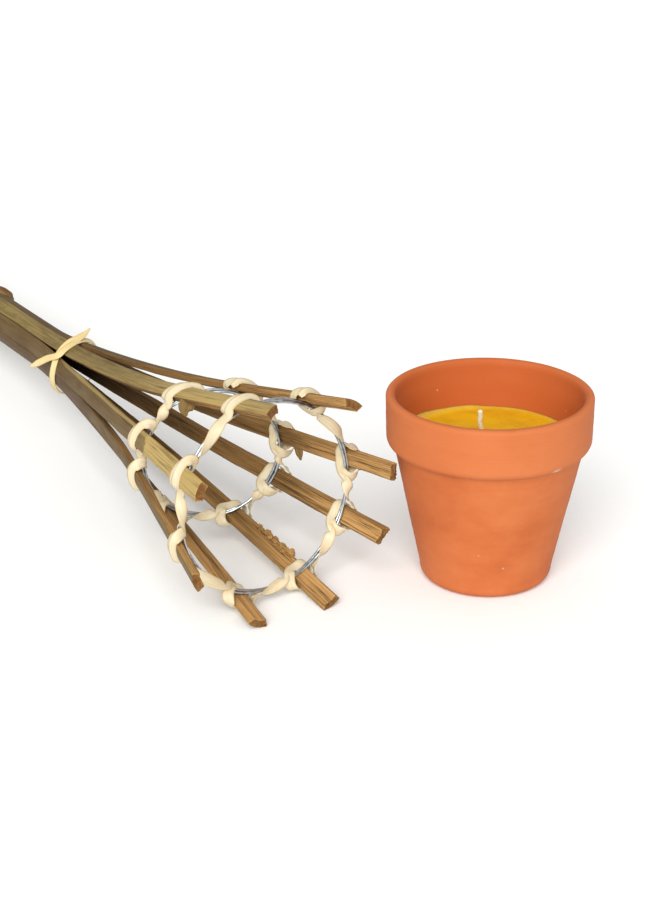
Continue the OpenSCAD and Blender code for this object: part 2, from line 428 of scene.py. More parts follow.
class Recipe:
    """A material under way: its shader, and the steps that the finishes share."""

    def __init__(self, name: str) -> None:
        """Starts a material with a bare shader.

        Args:
            name: The material's name.
        """
        self.material = bpy.data.materials.new(name)
        self.material.use_nodes = True
        self.tree = self.material.node_tree
        self.tree.nodes.clear()
        self.shader = add_node(self.tree, "ShaderNodeBsdfPrincipled")
        add_node(self.tree, "ShaderNodeOutputMaterial",
                 inputs={"Surface": self.shader.outputs[0]})

    def marked(self, name: str) -> Socket:
        """Reads a per-vertex mark, as a vector."""
        return add_node(self.tree, "ShaderNodeAttribute",
                        {"attribute_name": name}).outputs["Vector"]

    def marks(self, name: str) -> list[Socket]:
        """Reads a per-vertex mark, as three numbers."""
        return list(add_node(self.tree, "ShaderNodeSeparateXYZ",
                             inputs={0: self.marked(name)}).outputs)

    def in_mm(self) -> Socket:
        """Gives a piece's own coordinates.

        Returns:
            Places in millimetres.
        """
        own = add_node(self.tree, "ShaderNodeTexCoord").outputs["Object"]
        return add_node(self.tree, "ShaderNodeVectorMath", {"operation": "SCALE"},
                        {0: own, "Scale": 1 / MM}).outputs[0]

    def noise(self, place: Socket, size_mm: tuple[float, float, float],
              detail: float = 3.0, rough: float = 0.6) -> Socket:
        """Adds noise with features of a real size.

        Args:
            place: Coordinates in millimetres.
            size_mm: Size of a feature along each coordinate.
            detail: How many finer layers it has.
            rough: How strong those layers are.

        Returns:
            The noise, from 0 to 1.
        """
        scaled = add_node(self.tree, "ShaderNodeVectorMath", {"operation": "MULTIPLY"},
                          {0: place, 1: tuple(1 / s for s in size_mm)})
        return add_node(self.tree, "ShaderNodeTexNoise", {"noise_dimensions": "3D"}, {
            "Vector": scaled.outputs[0], "Scale": 1.0, "Detail": detail,
            "Roughness": rough}).outputs["Fac"]

    def rise(self, value: Socket, low: float, high: float) -> Socket:
        """Rises smoothly between two values of a pattern.

        Args:
            value: The pattern.
            low: Where it gives 0.
            high: Where it gives 1.

        Returns:
            Numbers from 0 to 1.
        """
        return add_node(self.tree, "ShaderNodeMapRange",
                        {"interpolation_type": "SMOOTHSTEP"}, {
                            "Value": value, "From Min": low, "From Max": high}).outputs[0]

    def spread(self, value: Socket, low: float, high: float) -> Socket:
        """Spreads a pattern, which runs from 0 to 1, evenly over low to high.

        Args:
            value: The pattern.
            low: What 0 becomes.
            high: What 1 becomes.

        Returns:
            Numbers from low to high.
        """
        return add_node(self.tree, "ShaderNodeMapRange", inputs={
            "Value": value, "To Min": low, "To Max": high}).outputs[0]

    def reckon(self, how: str, *values: Socket | float) -> Socket:
        """Works a row of numbers down to one.

        Args:
            how: The operation, such as "MULTIPLY".
            values: Two numbers or more.

        Returns:
            The result.
        """
        total = values[0]
        for value in values[1:]:
            total = add_node(self.tree, "ShaderNodeMath", {"operation": how},
                             {0: total, 1: value}).outputs[0]
        return total

    def layer(self, under: Socket | str, over: Socket | str, *shares: Socket | float
              ) -> Socket:
        """Lays one colour or pattern over another.

        Args:
            under: The lower one, a socket or an sRGB hex colour.
            over: The upper one.
            shares: Numbers whose product is how much of the upper one shows.

        Returns:
            The two together.
        """
        under, over = (linear(c) if isinstance(c, str) else c for c in (under, over))
        return add_node(self.tree, "ShaderNodeMix", {"data_type": "RGBA"}, {
            MIX_FACTOR: self.reckon("MULTIPLY", *shares), MIX_A: under,
            MIX_B: over}).outputs[MIX_COLOUR]

    def made(self, inputs: dict, height: Socket | None = None, strength: float = 0.0,
             deep_mm: float = 0.0) -> Material:
        """Feeds the shader and gives the material.

        Args:
            inputs: The shader's values and sockets.
            height: The relief's pattern, or None.
            strength: How strongly the relief shows.
            deep_mm: How deep the relief is.

        Returns:
            The material.
        """
        if height is not None:
            inputs["Normal"] = add_node(self.tree, "ShaderNodeBump", inputs={
                "Strength": strength, "Distance": deep_mm * MM,
                "Height": height}).outputs[0]
        feed(self.shader, inputs)
        return self.material


@dataclass(frozen=True)
class Finish:
    """What every finish has: the name of its material."""

    name: str


@dataclass(frozen=True)
class Culm(Finish):
    """Bamboo, seasoned outdoors: a hard waxy skin, and brown fibrous wood where it is split.

    The skin has fine streaks along the culm, a pale bloom and dark specks; the split faces
    show fibre bundles, and a saw-cut end shows them end on as dots. Deep in the basket the
    split wood is painted near black, with dust and painted shade.
    """

    skin_hollow: str = "604f27"
    skin_mid: str = "776639"
    skin_ridge: str = "8a7640"
    skin_grey: str = "4d361c"
    skin_straw: str = "b69a5b"
    bloom: str = "725a37"
    speck: str = "362712"
    wood_dark: str = "32200e"
    wood_mid: str = "6e512c"
    wood_light: str = "896638"
    wood_fresh: str = "bd9159"
    # Dust and painted shade: the near-black of the split wood deep in the basket
    dust_and_shade: str = "190f08"
    end_grain: str = "64401d"
    end_light: str = "a67a48"
    skin_roughness: float = 0.56
    wood_roughness: float = 0.78
    gleam: float = 0.18

    def material(self) -> Material:
        """Makes the material; it reads the marks grain, face and wear.

        Returns:
            The material.
        """
        mix = Recipe(self.name)
        place = mix.marked("grain")
        skin, cut, side = mix.marks("face")
        # This mark gives how fresh the bamboo is, how much dust and painted shade it takes,
        # and its tone
        fresh, dark, tone = mix.marks("wear_and_shade")

        # Skin: streaks 1.1 mm apart and 45 mm long, mottling 22 mm, bloom 30 mm
        streak = mix.noise(place, (45, 1.1, 1), 4)
        mottle = mix.noise(place, (22, 7, 1))
        bloom = mix.rise(mix.noise(place, (30, 9, 1), 4), 0.50, 0.72)
        skin_colour = add_node(mix.tree, "ShaderNodeValToRGB", inputs={0: streak}, stops=(
            (0.30, self.skin_hollow), (0.50, self.skin_mid),
            (0.72, self.skin_ridge))).outputs[0]
        skin_colour = mix.layer(skin_colour, self.skin_hollow, mix.rise(mottle, 0.42, 0.70))
        skin_colour = mix.layer(skin_colour, self.skin_grey, tone, 0.95)
        skin_colour = mix.layer(skin_colour, self.skin_straw, fresh,
                                mix.rise(streak, 0.25, 0.55))
        skin_colour = mix.layer(skin_colour, self.bloom, bloom, mix.spread(tone, 0.10, 0.32))
        # Specks of black mould, 0.9 mm across, drawn out along the culm
        specks = mix.rise(mix.noise(place, (2.6, 0.9, 1), 2), 0.70, 0.76)
        skin_colour = mix.layer(skin_colour, self.speck, specks, 0.55)

        # Split wood: fibre bundles 0.45 mm apart and 30 mm long, over bands 2.2 mm wide
        fibre = mix.noise(place, (30, 0.45, 0.45), 3, 0.7)
        grain = mix.layer(fibre, mix.noise(place, (60, 2.2, 2.2)), 0.4)
        wood = add_node(mix.tree, "ShaderNodeValToRGB", inputs={0: grain}, stops=(
            (0.34, self.wood_dark), (0.50, self.wood_mid),
            (0.62, self.wood_light))).outputs[0]
        wood = mix.layer(wood, self.wood_fresh, fresh, mix.rise(grain, 0.38, 0.56))
        wood = mix.layer(wood, self.wood_light, side, 0.30)
        # Dust and painted shade darken the split wood deep in the basket and down the slats'
        # sides
        wood = mix.layer(wood, self.dust_and_shade, dark, 0.9)

        # Saw-cut end: bundles end on, as dots 0.6 mm apart, and clouds 2.5 mm across
        own = mix.in_mm()
        dots = add_node(mix.tree, "ShaderNodeTexVoronoi",
                        inputs={"Vector": own, "Scale": 1.7})
        ends = mix.layer(self.end_light, self.end_grain, mix.spread(
            mix.rise(dots.outputs["Distance"], 0.15, 0.6), 0.35, 0.85))
        ends = mix.layer(ends, self.end_grain, mix.rise(
            mix.noise(own, (2.5, 2.5, 2.5)), 0.45, 0.65))

        gloss = mix.spread(skin, self.wood_roughness, self.skin_roughness)
        return mix.made({
            "Base Color": mix.layer(mix.layer(wood, skin_colour, skin), ends, cut),
            "Roughness": mix.reckon("ADD", gloss, mix.spread(mottle, -0.14, 0.21)),
            "Specular IOR Level": self.gleam},
            mix.layer(fibre, mix.reckon("MULTIPLY", streak, 0.35), skin), 0.75, 0.35)


@dataclass(frozen=True)
class Peel(Finish):
    """Rattan peel, shaved into thin flat strip: creamy, satin, with fibres along it.

    It is warmer along its edges, and painted warmer and darker in its folds, as shade in the
    creases.
    """

    pale: str = "d4c8ac"
    cream: str = "ccb88d"
    # Warmer along the edges, and painted shade in the folds
    warm: str = "b99655"
    roughness: float = 0.52
    glow: float = 0.12

    def material(self) -> Material:
        """Makes the material; it reads the marks grain and face.

        Returns:
            The material.
        """
        mix = Recipe(self.name)
        place = mix.marked("grain")
        edge, fold, _ = mix.marks("face")
        # Fibres 0.42 mm apart and 18 mm long; cloudy patches 9 mm long
        fibre = mix.noise(place, (18, 0.42, 1), 3, 0.65)
        cloud = mix.noise(place, (9, 4, 1))
        colour = mix.layer(self.pale, self.cream, mix.rise(fibre, 0.40, 0.66))
        colour = mix.layer(colour, self.cream, mix.rise(cloud, 0.50, 0.75), 0.45)
        # Warmer along the edges, and painted shade where the strip folds
        warm_edges_and_fold_shade = mix.reckon("MAXIMUM", mix.reckon("MULTIPLY", edge, 0.55), fold)
        colour = mix.layer(colour, self.warm, warm_edges_and_fold_shade, mix.rise(cloud, 0.25, 0.60))
        return mix.made({
            "Base Color": colour, "Roughness": self.roughness,
            "Subsurface Weight": self.glow, "Subsurface Radius": (1.0, 0.6, 0.3),
            "Subsurface Scale": 1.2 * MM}, fibre, 0.5, 0.12)


@dataclass(frozen=True)
class Galvanised(Finish):
    """Steel wire, hot-dip galvanised: a soft grey shine with duller, darker patches."""

    zinc: str = "c6ccd0"
    dull: str = "868e94"
    roughness: float = 0.30

    def material(self) -> Material:
        """Makes the material; it reads the mark grain.

        Returns:
            The material.
        """
        mix = Recipe(self.name)
        place = mix.marked("grain")
        # Patches 5 mm long; draw marks 0.25 mm apart along the wire
        patch = mix.noise(place, (5, 2, 1))
        return mix.made({
            "Base Color": mix.layer(self.zinc, self.dull, mix.rise(patch, 0.42, 0.68)),
            "Roughness": mix.spread(patch, self.roughness - 0.1, self.roughness + 0.15),
            "Metallic": 1.0}, mix.noise(place, (25, 0.25, 1), 2), 0.35, 0.08)


@dataclass(frozen=True)
class Terracotta(Finish):
    """Terracotta, turned on a machine and fired unglazed: dry, matt, softly uneven orange.

    Fine turning lines run round it, sand shows as a faint grain, and lime has left pale
    specks. Inside, it is painted deeper and redder, as painted shade.
    """

    clay: str = "b9622f"
    pale: str = "be6a39"
    deep: str = "af5827"
    # Painted shade: the deeper, redder clay inside the pot
    inside: str = "ae511a"
    lime: str = "c4ad99"
    roughness: float = 0.82

    def material(self) -> Material:
        """Makes the material; it reads the marks grain and face.

        Returns:
            The material.
        """
        mix = Recipe(self.name)
        place = mix.marked("grain")
        within, chalk, high = mix.marks("face")
        # Cloudy firing 38 mm across, turning lines 0.9 mm apart, sand 0.7 mm
        cloud = mix.noise(place, (38, 26, 38), 4)
        lines = mix.noise(place, (90, 0.9, 90), 2)
        sand = mix.noise(place, (0.7, 0.7, 0.7), 2)
        colour = add_node(mix.tree, "ShaderNodeValToRGB", inputs={0: cloud}, stops=(
            (0.30, self.deep), (0.50, self.clay), (0.70, self.pale))).outputs[0]
        colour = mix.layer(colour, self.pale, high, 0.6)
        colour = mix.layer(colour, self.deep, mix.rise(lines, 0.5, 0.75), 0.18)
        colour = mix.layer(colour, self.pale, mix.rise(sand, 0.55, 0.72), 0.22)
        # Painted shade over the inside of the pot
        colour = mix.layer(colour, self.inside, within, 0.85)
        # Lime specks about 1 mm across, 18 mm or so apart, and the chalky scuff
        spots = add_node(mix.tree, "ShaderNodeTexVoronoi", {"feature": "F1"}, {
            "Vector": place, "Scale": 0.055, "Randomness": 1.0}).outputs["Distance"]
        spot = mix.rise(mix.reckon("ADD", spots, mix.reckon("MULTIPLY", sand, 0.03)),
                        0.055, 0.035)
        chalky = mix.reckon("MAXIMUM", mix.reckon("MULTIPLY", spot, 0.5), chalk)
        return mix.made({
            "Base Color": mix.layer(colour, self.lime, chalky), "IOR": 1.45,
            "Roughness": mix.spread(cloud, self.roughness + 0.05, self.roughness - 0.07)},
            mix.layer(lines, sand, 0.45), 0.45, 0.22)


@dataclass(frozen=True)
class CandleWax(Finish):
    """Paraffin and citronella wax, poured and set: golden, clouded, with a dull gloss."""

    gold: str = "d6a70c"
    amber: str = "cb9a0c"
    # The film's duller gold, partly painted shade where the wax meets the pot's wall
    film: str = "c49f3c"
    roughness: float = 0.38
    glow: float = 0.35

    def material(self) -> Material:
        """Makes the material; it reads the marks grain and face.

        Returns:
            The material.
        """
        mix = Recipe(self.name)
        place = mix.marked("grain")
        # Clouding 16 mm across, ripples 5 mm; the thin film up the wall is a duller gold, its
        # own colour and painted shade where the wax meets the wall
        cloud = mix.noise(place, (16, 16, 16), 4)
        colour = mix.layer(self.gold, self.amber, mix.rise(cloud, 0.40, 0.66))
        return mix.made({
            "Base Color": mix.layer(colour, self.film, mix.marks("face")[0]), "IOR": 1.44,
            "Roughness": mix.spread(cloud, self.roughness - 0.06, self.roughness + 0.14),
            "Subsurface Weight": self.glow, "Subsurface Radius": (1.0, 0.55, 0.15),
            "Subsurface Scale": 4 * MM}, mix.noise(place, (5, 5, 5)), 0.4, 0.4)


@dataclass(frozen=True)
class WaxedCotton(Finish):
    """Cotton, braided and dipped in wax: off-white, waxy, with the yarns still showing."""

    white: str = "d9d3c1"
    waxed: str = "c8b37a"
    roughness: float = 0.6

    def material(self) -> Material:
        """Makes the material; it reads the marks grain and face.

        Returns:
            The material.
        """
        mix = Recipe(self.name)
        # Yarn fibres 0.2 mm apart
        fibre = mix.noise(mix.marked("grain"), (1.4, 0.2, 0.2), 2)
        return mix.made({
            "Base Color": mix.layer(self.white, self.waxed, mix.marks("face")[0],
                                    mix.rise(fibre, 0.3, 0.6)),
            "Roughness": mix.spread(fibre, self.roughness - 0.1, self.roughness + 0.1)},
            fibre, 0.6, 0.1)


@dataclass(frozen=True)
class Tinplate(Finish):
    """Tinplate, stamped from sheet: bright, with rolling lines and a duller bloom."""

    bright: str = "c9cbc8"
    dull: str = "8f918f"
    roughness: float = 0.28

    def material(self) -> Material:
        """Makes the material for a frame node, which has no marks.

        Returns:
            The material.
        """
        mix = Recipe(self.name)
        own = mix.in_mm()
        # Rolling lines 0.3 mm apart, bloom 4 mm across
        bloom = mix.noise(own, (4, 4, 4))
        return mix.made({
            "Base Color": mix.layer(self.bright, self.dull, mix.rise(bloom, 0.4, 0.7)),
            "Roughness": mix.spread(bloom, self.roughness - 0.1, self.roughness + 0.2),
            "Metallic": 1.0}, mix.noise(own, (30, 0.3, 30), 2), 0.3, 0.05)


@dataclass(frozen=True)
class Cork(Finish):
    """Cork, pressed from granules: warm brown grains of mixed tone, with dark pits."""

    light: str = "c79a66"
    brown: str = "a2733f"
    pit: str = "4d3119"
    roughness: float = 0.88

    def material(self) -> Material:
        """Makes the material for a frame node, which has no marks.

        Returns:
            The material.
        """
        mix = Recipe(self.name)
        own = mix.in_mm()
        # Granules 1.4 mm across, pits 0.6 mm
        grains = add_node(mix.tree, "ShaderNodeTexVoronoi",
                          inputs={"Vector": own, "Scale": 0.7})
        tone = add_node(mix.tree, "ShaderNodeSeparateColor",
                        inputs={0: grains.outputs["Color"]}).outputs[0]
        pits = mix.noise(own, (0.6, 0.6, 0.6), 2)
        colour = mix.layer(self.light, self.brown, tone)
        return mix.made({
            "Base Color": mix.layer(colour, self.pit, mix.rise(pits, 0.62, 0.72)),
            "Roughness": mix.spread(tone, self.roughness, self.roughness - 0.15)},
            pits, 0.7, 0.2)


@dataclass(frozen=True)
class StudioPaper(Finish):
    """Background paper, uncoated: white and quite matt."""

    white: str = "f4f4f2"
    bright: str = "f8f8f6"
    roughness: float = 0.9

    def material(self) -> Material:
        """Makes the material for the floor.

        Returns:
            The material.
        """
        mix = Recipe(self.name)
        # Paper tooth, really 0.1 mm: 3 mm, so that it shows at all
        tooth = mix.noise(mix.in_mm(), (3, 3, 3), 2)
        return mix.made({"Base Color": mix.layer(self.white, self.bright, tooth),
                         "Roughness": self.roughness})


# ---------------------------------------------------------------- measured places


@dataclass(frozen=True)
class TorchAxes:
    """The torch's own axes in the frame: its foot, and along, across and up."""

    origin: Array
    axes: Array

    @classmethod
    def measured(cls) -> "TorchAxes":
        """Takes the axis from the record's mounts and the foot from the pole's node.

        Returns:
            The axes.
        """
        mounts = {m["name"]: m for m in frame["record"]["mounts"]}
        ahead = unit(np.array(mounts["basket_seat"]["axis"], float))
        across = unit(np.cross([0, 0, 1], ahead))
        start = np.array(mounts["pole_foot"]["pos_m"], float)
        points, _ = node_mesh("pole")
        origin = start + ahead * ((points - start) @ ahead).min()
        return cls(origin, np.stack([ahead, across, np.cross(ahead, across)]))

    def place(self, local_mm: Array) -> Array:
        """Turns places along, across and up in millimetres to frame metres."""
        return self.origin + np.asarray(local_mm, float) * MM @ self.axes

    def local(self, points: Array) -> Array:
        """Turns frame metres to places along, across and up in millimetres."""
        return (points - self.origin) @ self.axes.T / MM


@dataclass
class Ring:
    """A ring of wire, measured from its node, with places given round it.

    A place is a bearing in degrees from across towards up, how far outside the wire,
    and how far ahead of it.
    """

    centre: Array
    radius: float
    lean: Array

    @classmethod
    def measured(cls, node: str, axes: TorchAxes) -> "Ring":
        """Fits the ring to its node's vertices.

        Args:
            node: The ring's node.
            axes: The torch's axes.

        Returns:
            The ring.
        """
        x, y, z = axes.local(node_mesh(node)[0]).T
        a, b, c = np.linalg.lstsq(np.stack([2 * y, 2 * z, np.ones_like(y)], 1),
                                  y * y + z * z, rcond=None)[0]
        plane = np.linalg.lstsq(np.stack([np.ones_like(y), y - a, z - b], 1), x,
                                rcond=None)[0]
        return cls(np.array([plane[0], a, b]), math.sqrt(c + a * a + b * b), plane[1:])

    def place(self, bearing: Array, out: Array, ahead: Array) -> Array:
        """Gives places round the ring in the torch's axes.

        Args:
            bearing: Bearings in degrees.
            out: Distances outside the wire.
            ahead: Distances ahead of it.

        Returns:
            Places in millimetres.
        """
        angle = np.radians(bearing)
        y, z = (self.radius + out) * np.cos(angle), (self.radius + out) * np.sin(angle)
        return self.centre + np.stack(
            [self.lean[0] * y + self.lean[1] * z + ahead, y, z], axis=-1)

    def turned(self, bearing: Array, vectors: Array) -> Array:
        """Turns vectors given as (towards lower bearings, out, ahead) to the torch's axes.

        Args:
            bearing: Bearings in degrees.
            vectors: The vectors.

        Returns:
            Unit vectors.
        """
        angle = np.radians(bearing)
        zero = np.zeros_like(angle)
        back = np.stack([zero, np.sin(angle), -np.cos(angle)], -1)
        out = np.stack([zero, np.cos(angle), np.sin(angle)], -1)
        ahead = np.stack([zero + 1, zero, zero], -1)
        return unit(vectors[:, :1] * back + vectors[:, 1:2] * out + vectors[:, 2:] * ahead)

    def found(self, local_mm: Array) -> tuple[Array, Array, Array]:
        """Finds the bearing, distance out and distance ahead of places.

        Args:
            local_mm: Places in the torch's axes.

        Returns:
            Bearings, distances out and distances ahead.
        """
        x, y, z = (local_mm - self.centre).T
        return (np.degrees(np.arctan2(z, y)), np.hypot(y, z) - self.radius,
                x - self.lean[0] * y - self.lean[1] * z)


# ---------------------------------------------------------------- the pole


@dataclass
class Pole:
    """The whole culm, from its sawn foot to where the slats begin."""

    axes: TorchAxes
    radius: float = 14.5
    wall: float = 4.3
    step: float = 1.5
    around: int = 120
    ridge: float = 1.4
    stub_bearing: float = 58.0
    fresh: float = 0.12
    knots: list[float] = field(default_factory=list)
    length: float = 0.0

    # A knot's relief: sheath scar, ridge, swelling and groove, each with its height, how
    # far past the knot it is, and its width
    KNOT = ((0.75, -0.4, 0.9), (0.85, 5.0, 3.4), (0.45, 0.0, 9.0), (-0.35, 1.6, 0.8))
    # The wall inside a knot, from ahead to behind: place and radius
    PIERCED = ((1.5, 4.0), (1.5, 1.5), (-1.5, 1.5), (-1.5, 4.0))

    def measure(self) -> None:
        """Finds the pole's length and its knots from its node."""
        x, y, z = self.axes.local(node_mesh("pole")[0]).T
        self.length = float(x[np.hypot(y, z) < self.radius + 0.01].max())
        # Vertices on the knots' ridges, in groups at least 60 mm apart
        high = np.sort(x[(np.hypot(y, z) > self.radius + self.ridge - 0.3)
                         & (np.hypot(y, z) < self.radius + self.ridge + 0.2)])
        groups = np.split(high, np.nonzero(np.diff(high) > 60)[0] + 1)
        self.knots = [float(np.median(g)) for g in groups]

    def knot_swell(self, x: Array) -> Array:
        """Height of the culm's surface over its plain radius, near the knots.

        Args:
            x: Places along the pole.

        Returns:
            Heights in millimetres.
        """
        return sum(high * np.exp(-((x - knot - past) / width) ** 2)
                   for knot in self.knots for high, past, width in self.KNOT)

    def build(self, slats: "SlatFan") -> None:
        """Makes the culm's walls as one turned shape, with the stub of a branch.

        Args:
            slats: The slats, whose skin tones the pole's skin runs on into.
        """
        outer_x = np.unique(np.concatenate([
            np.arange(0, self.length, self.step),
            [0.5, 1.0, self.length - 0.4, self.length]]))
        outer_r = self.radius + self.knot_swell(outer_x) * step_between(
            self.length - outer_x, 0, 4)
        outer_r[:2] -= (0.5, 0.15)
        bore = self.radius - self.wall
        rows = [(x, r, 1, 0) for x, r in zip(outer_x, outer_r, strict=True)]
        rows += [(self.length, r, 0, 1) for r in (self.radius - 1.2, self.radius - 3)]
        rows.append((self.length, bore, 0, 0))
        for knot in reversed(self.knots):
            rows += [(knot + ahead, reach, 0, 0) for ahead, reach in (
                (1.9, bore), (1.5, bore - 1), *self.PIERCED, (-1.5, bore - 1),
                (-1.9, bore), (-40, bore))]
        rows += [(12, bore, 0, 0), (4, bore, 0, 0), (0.3, bore, 0, 0.5)]
        rows += [(0, bore + reach, 0, 1) for reach in (0.4, 1.4, 2.4, 3.4)]
        x, r, skin, cut = (np.array(c, float)[:, None] for c in zip(*rows, strict=True))
        bearing = np.arange(self.around)[None, :] * 360 / self.around
        angle = np.radians(bearing)
        arc = angle * self.radius
        is_skin = skin > 0.5
        oval = 0.18 * np.cos(np.radians(2 * bearing - 60)) * step_between(
            self.length - x, 0, 40)
        grooves = 0.05 * smooth_noise(arc / 1.6, x / 70, 11, 2)
        bulge = 0.14 * smooth_noise(arc / 14, x / 45, 12)
        free = step_between(self.length - x, 0, 12)
        radius = r + is_skin * (oval + (grooves + bulge) * free)
        along = x + cut * 0.25 * smooth_noise(arc / 0.9, r / 0.8, 13, 2) * (x < 1)
        sheath_line, below = 0 * x, 0 * x
        for knot in self.knots:
            near = is_skin * np.exp(-((x - knot) / 8) ** 2)
            along = along + near * 0.8 * smooth_noise(arc / 12, 0, 14)
            sheath_line = np.maximum(sheath_line, np.exp(-((x - knot - 1.4) / 1.6) ** 2))
            below = np.maximum(below, np.exp(-np.maximum(knot - x, 0) / 12)
                               * (x < knot + 0.5))
        tone = slats.skin_tone(bearing) + 0.25 * smooth_noise(arc / 18, x / 50, 15)
        self.piece = make_piece(
            "bamboo_pole",
            self.axes.place(np.stack([along + 0 * angle, radius * np.cos(angle),
                                      radius * np.sin(angle)], axis=-1)),
            grid_faces(len(rows), self.around, True, True), {
                "grain": (x, arc, self.radius - r),
                "face": (skin * (1 - 0.85 * sheath_line), cut, 0.0),
                "wear_and_shade": (self.fresh, 0.75 * sheath_line,
                         np.clip(np.clip(tone, 0, 1) + 0.5 * below, 0, 1))})
        self.stub = self.branch_stub()

    def branch_stub(self) -> Piece:
        """Makes the trimmed stub of a branch at the knot under the basket.

        Returns:
            The stub's piece.
        """
        rows, columns, tall, flat_from = 14, 36, 4.9, 0.86
        t = np.linspace(0, 1, rows)[:, None]
        a = full_turn(columns)[None, :]
        girth = 8.6 - 3.4 * t + 0.6 * np.exp(-((t - 0.3) / 0.14) ** 2)
        girth = girth * (1 + 0.06 * smooth_noise(a * 2, t * 6, 21, 2))
        girth = np.where(t > flat_from,
                         girth * (1 - (t - flat_from) / (1 - flat_from)) ** 0.5, girth)
        height = tall * np.minimum(t, flat_from) - 1.2
        height = height + 0.25 * smooth_noise(a * 3, girth, 22) * (t > 0.8)
        lean, bearing = math.radians(14), math.radians(self.stub_bearing)
        along = girth * np.cos(a) * math.cos(lean) + height * math.sin(lean)
        out = self.radius + height * math.cos(lean) - girth * np.cos(a) * math.sin(lean)
        aside = girth * np.sin(a)
        local = np.stack([
            max(self.knots) + 2 + along, out * math.cos(bearing) - aside * math.sin(bearing),
            out * math.sin(bearing) + aside * math.cos(bearing)], axis=-1)
        faces = tube_faces(rows, columns)
        faces.pop(-2)  # The root, which is inside the pole, stays open
        top = 1.0 * (t > 0.84)
        return make_piece("branch_stub", self.axes.place(local), faces, {
            "grain": (height, a * 4, 0.0), "face": (0.7 * (1 - top), 0.4 * top, 0.0),
            "wear_and_shade": (0.15, 0.15, 0.6)})

    def dress(self, skin: Material) -> None:
        """Dresses the pole and its stub."""
        hand_over(self.piece, skin, Body.TORCH, Slot.SKIN, "pole")
        hand_over(self.stub, skin, Body.TORCH, Slot.SKIN)


# ---------------------------------------------------------------- the slats


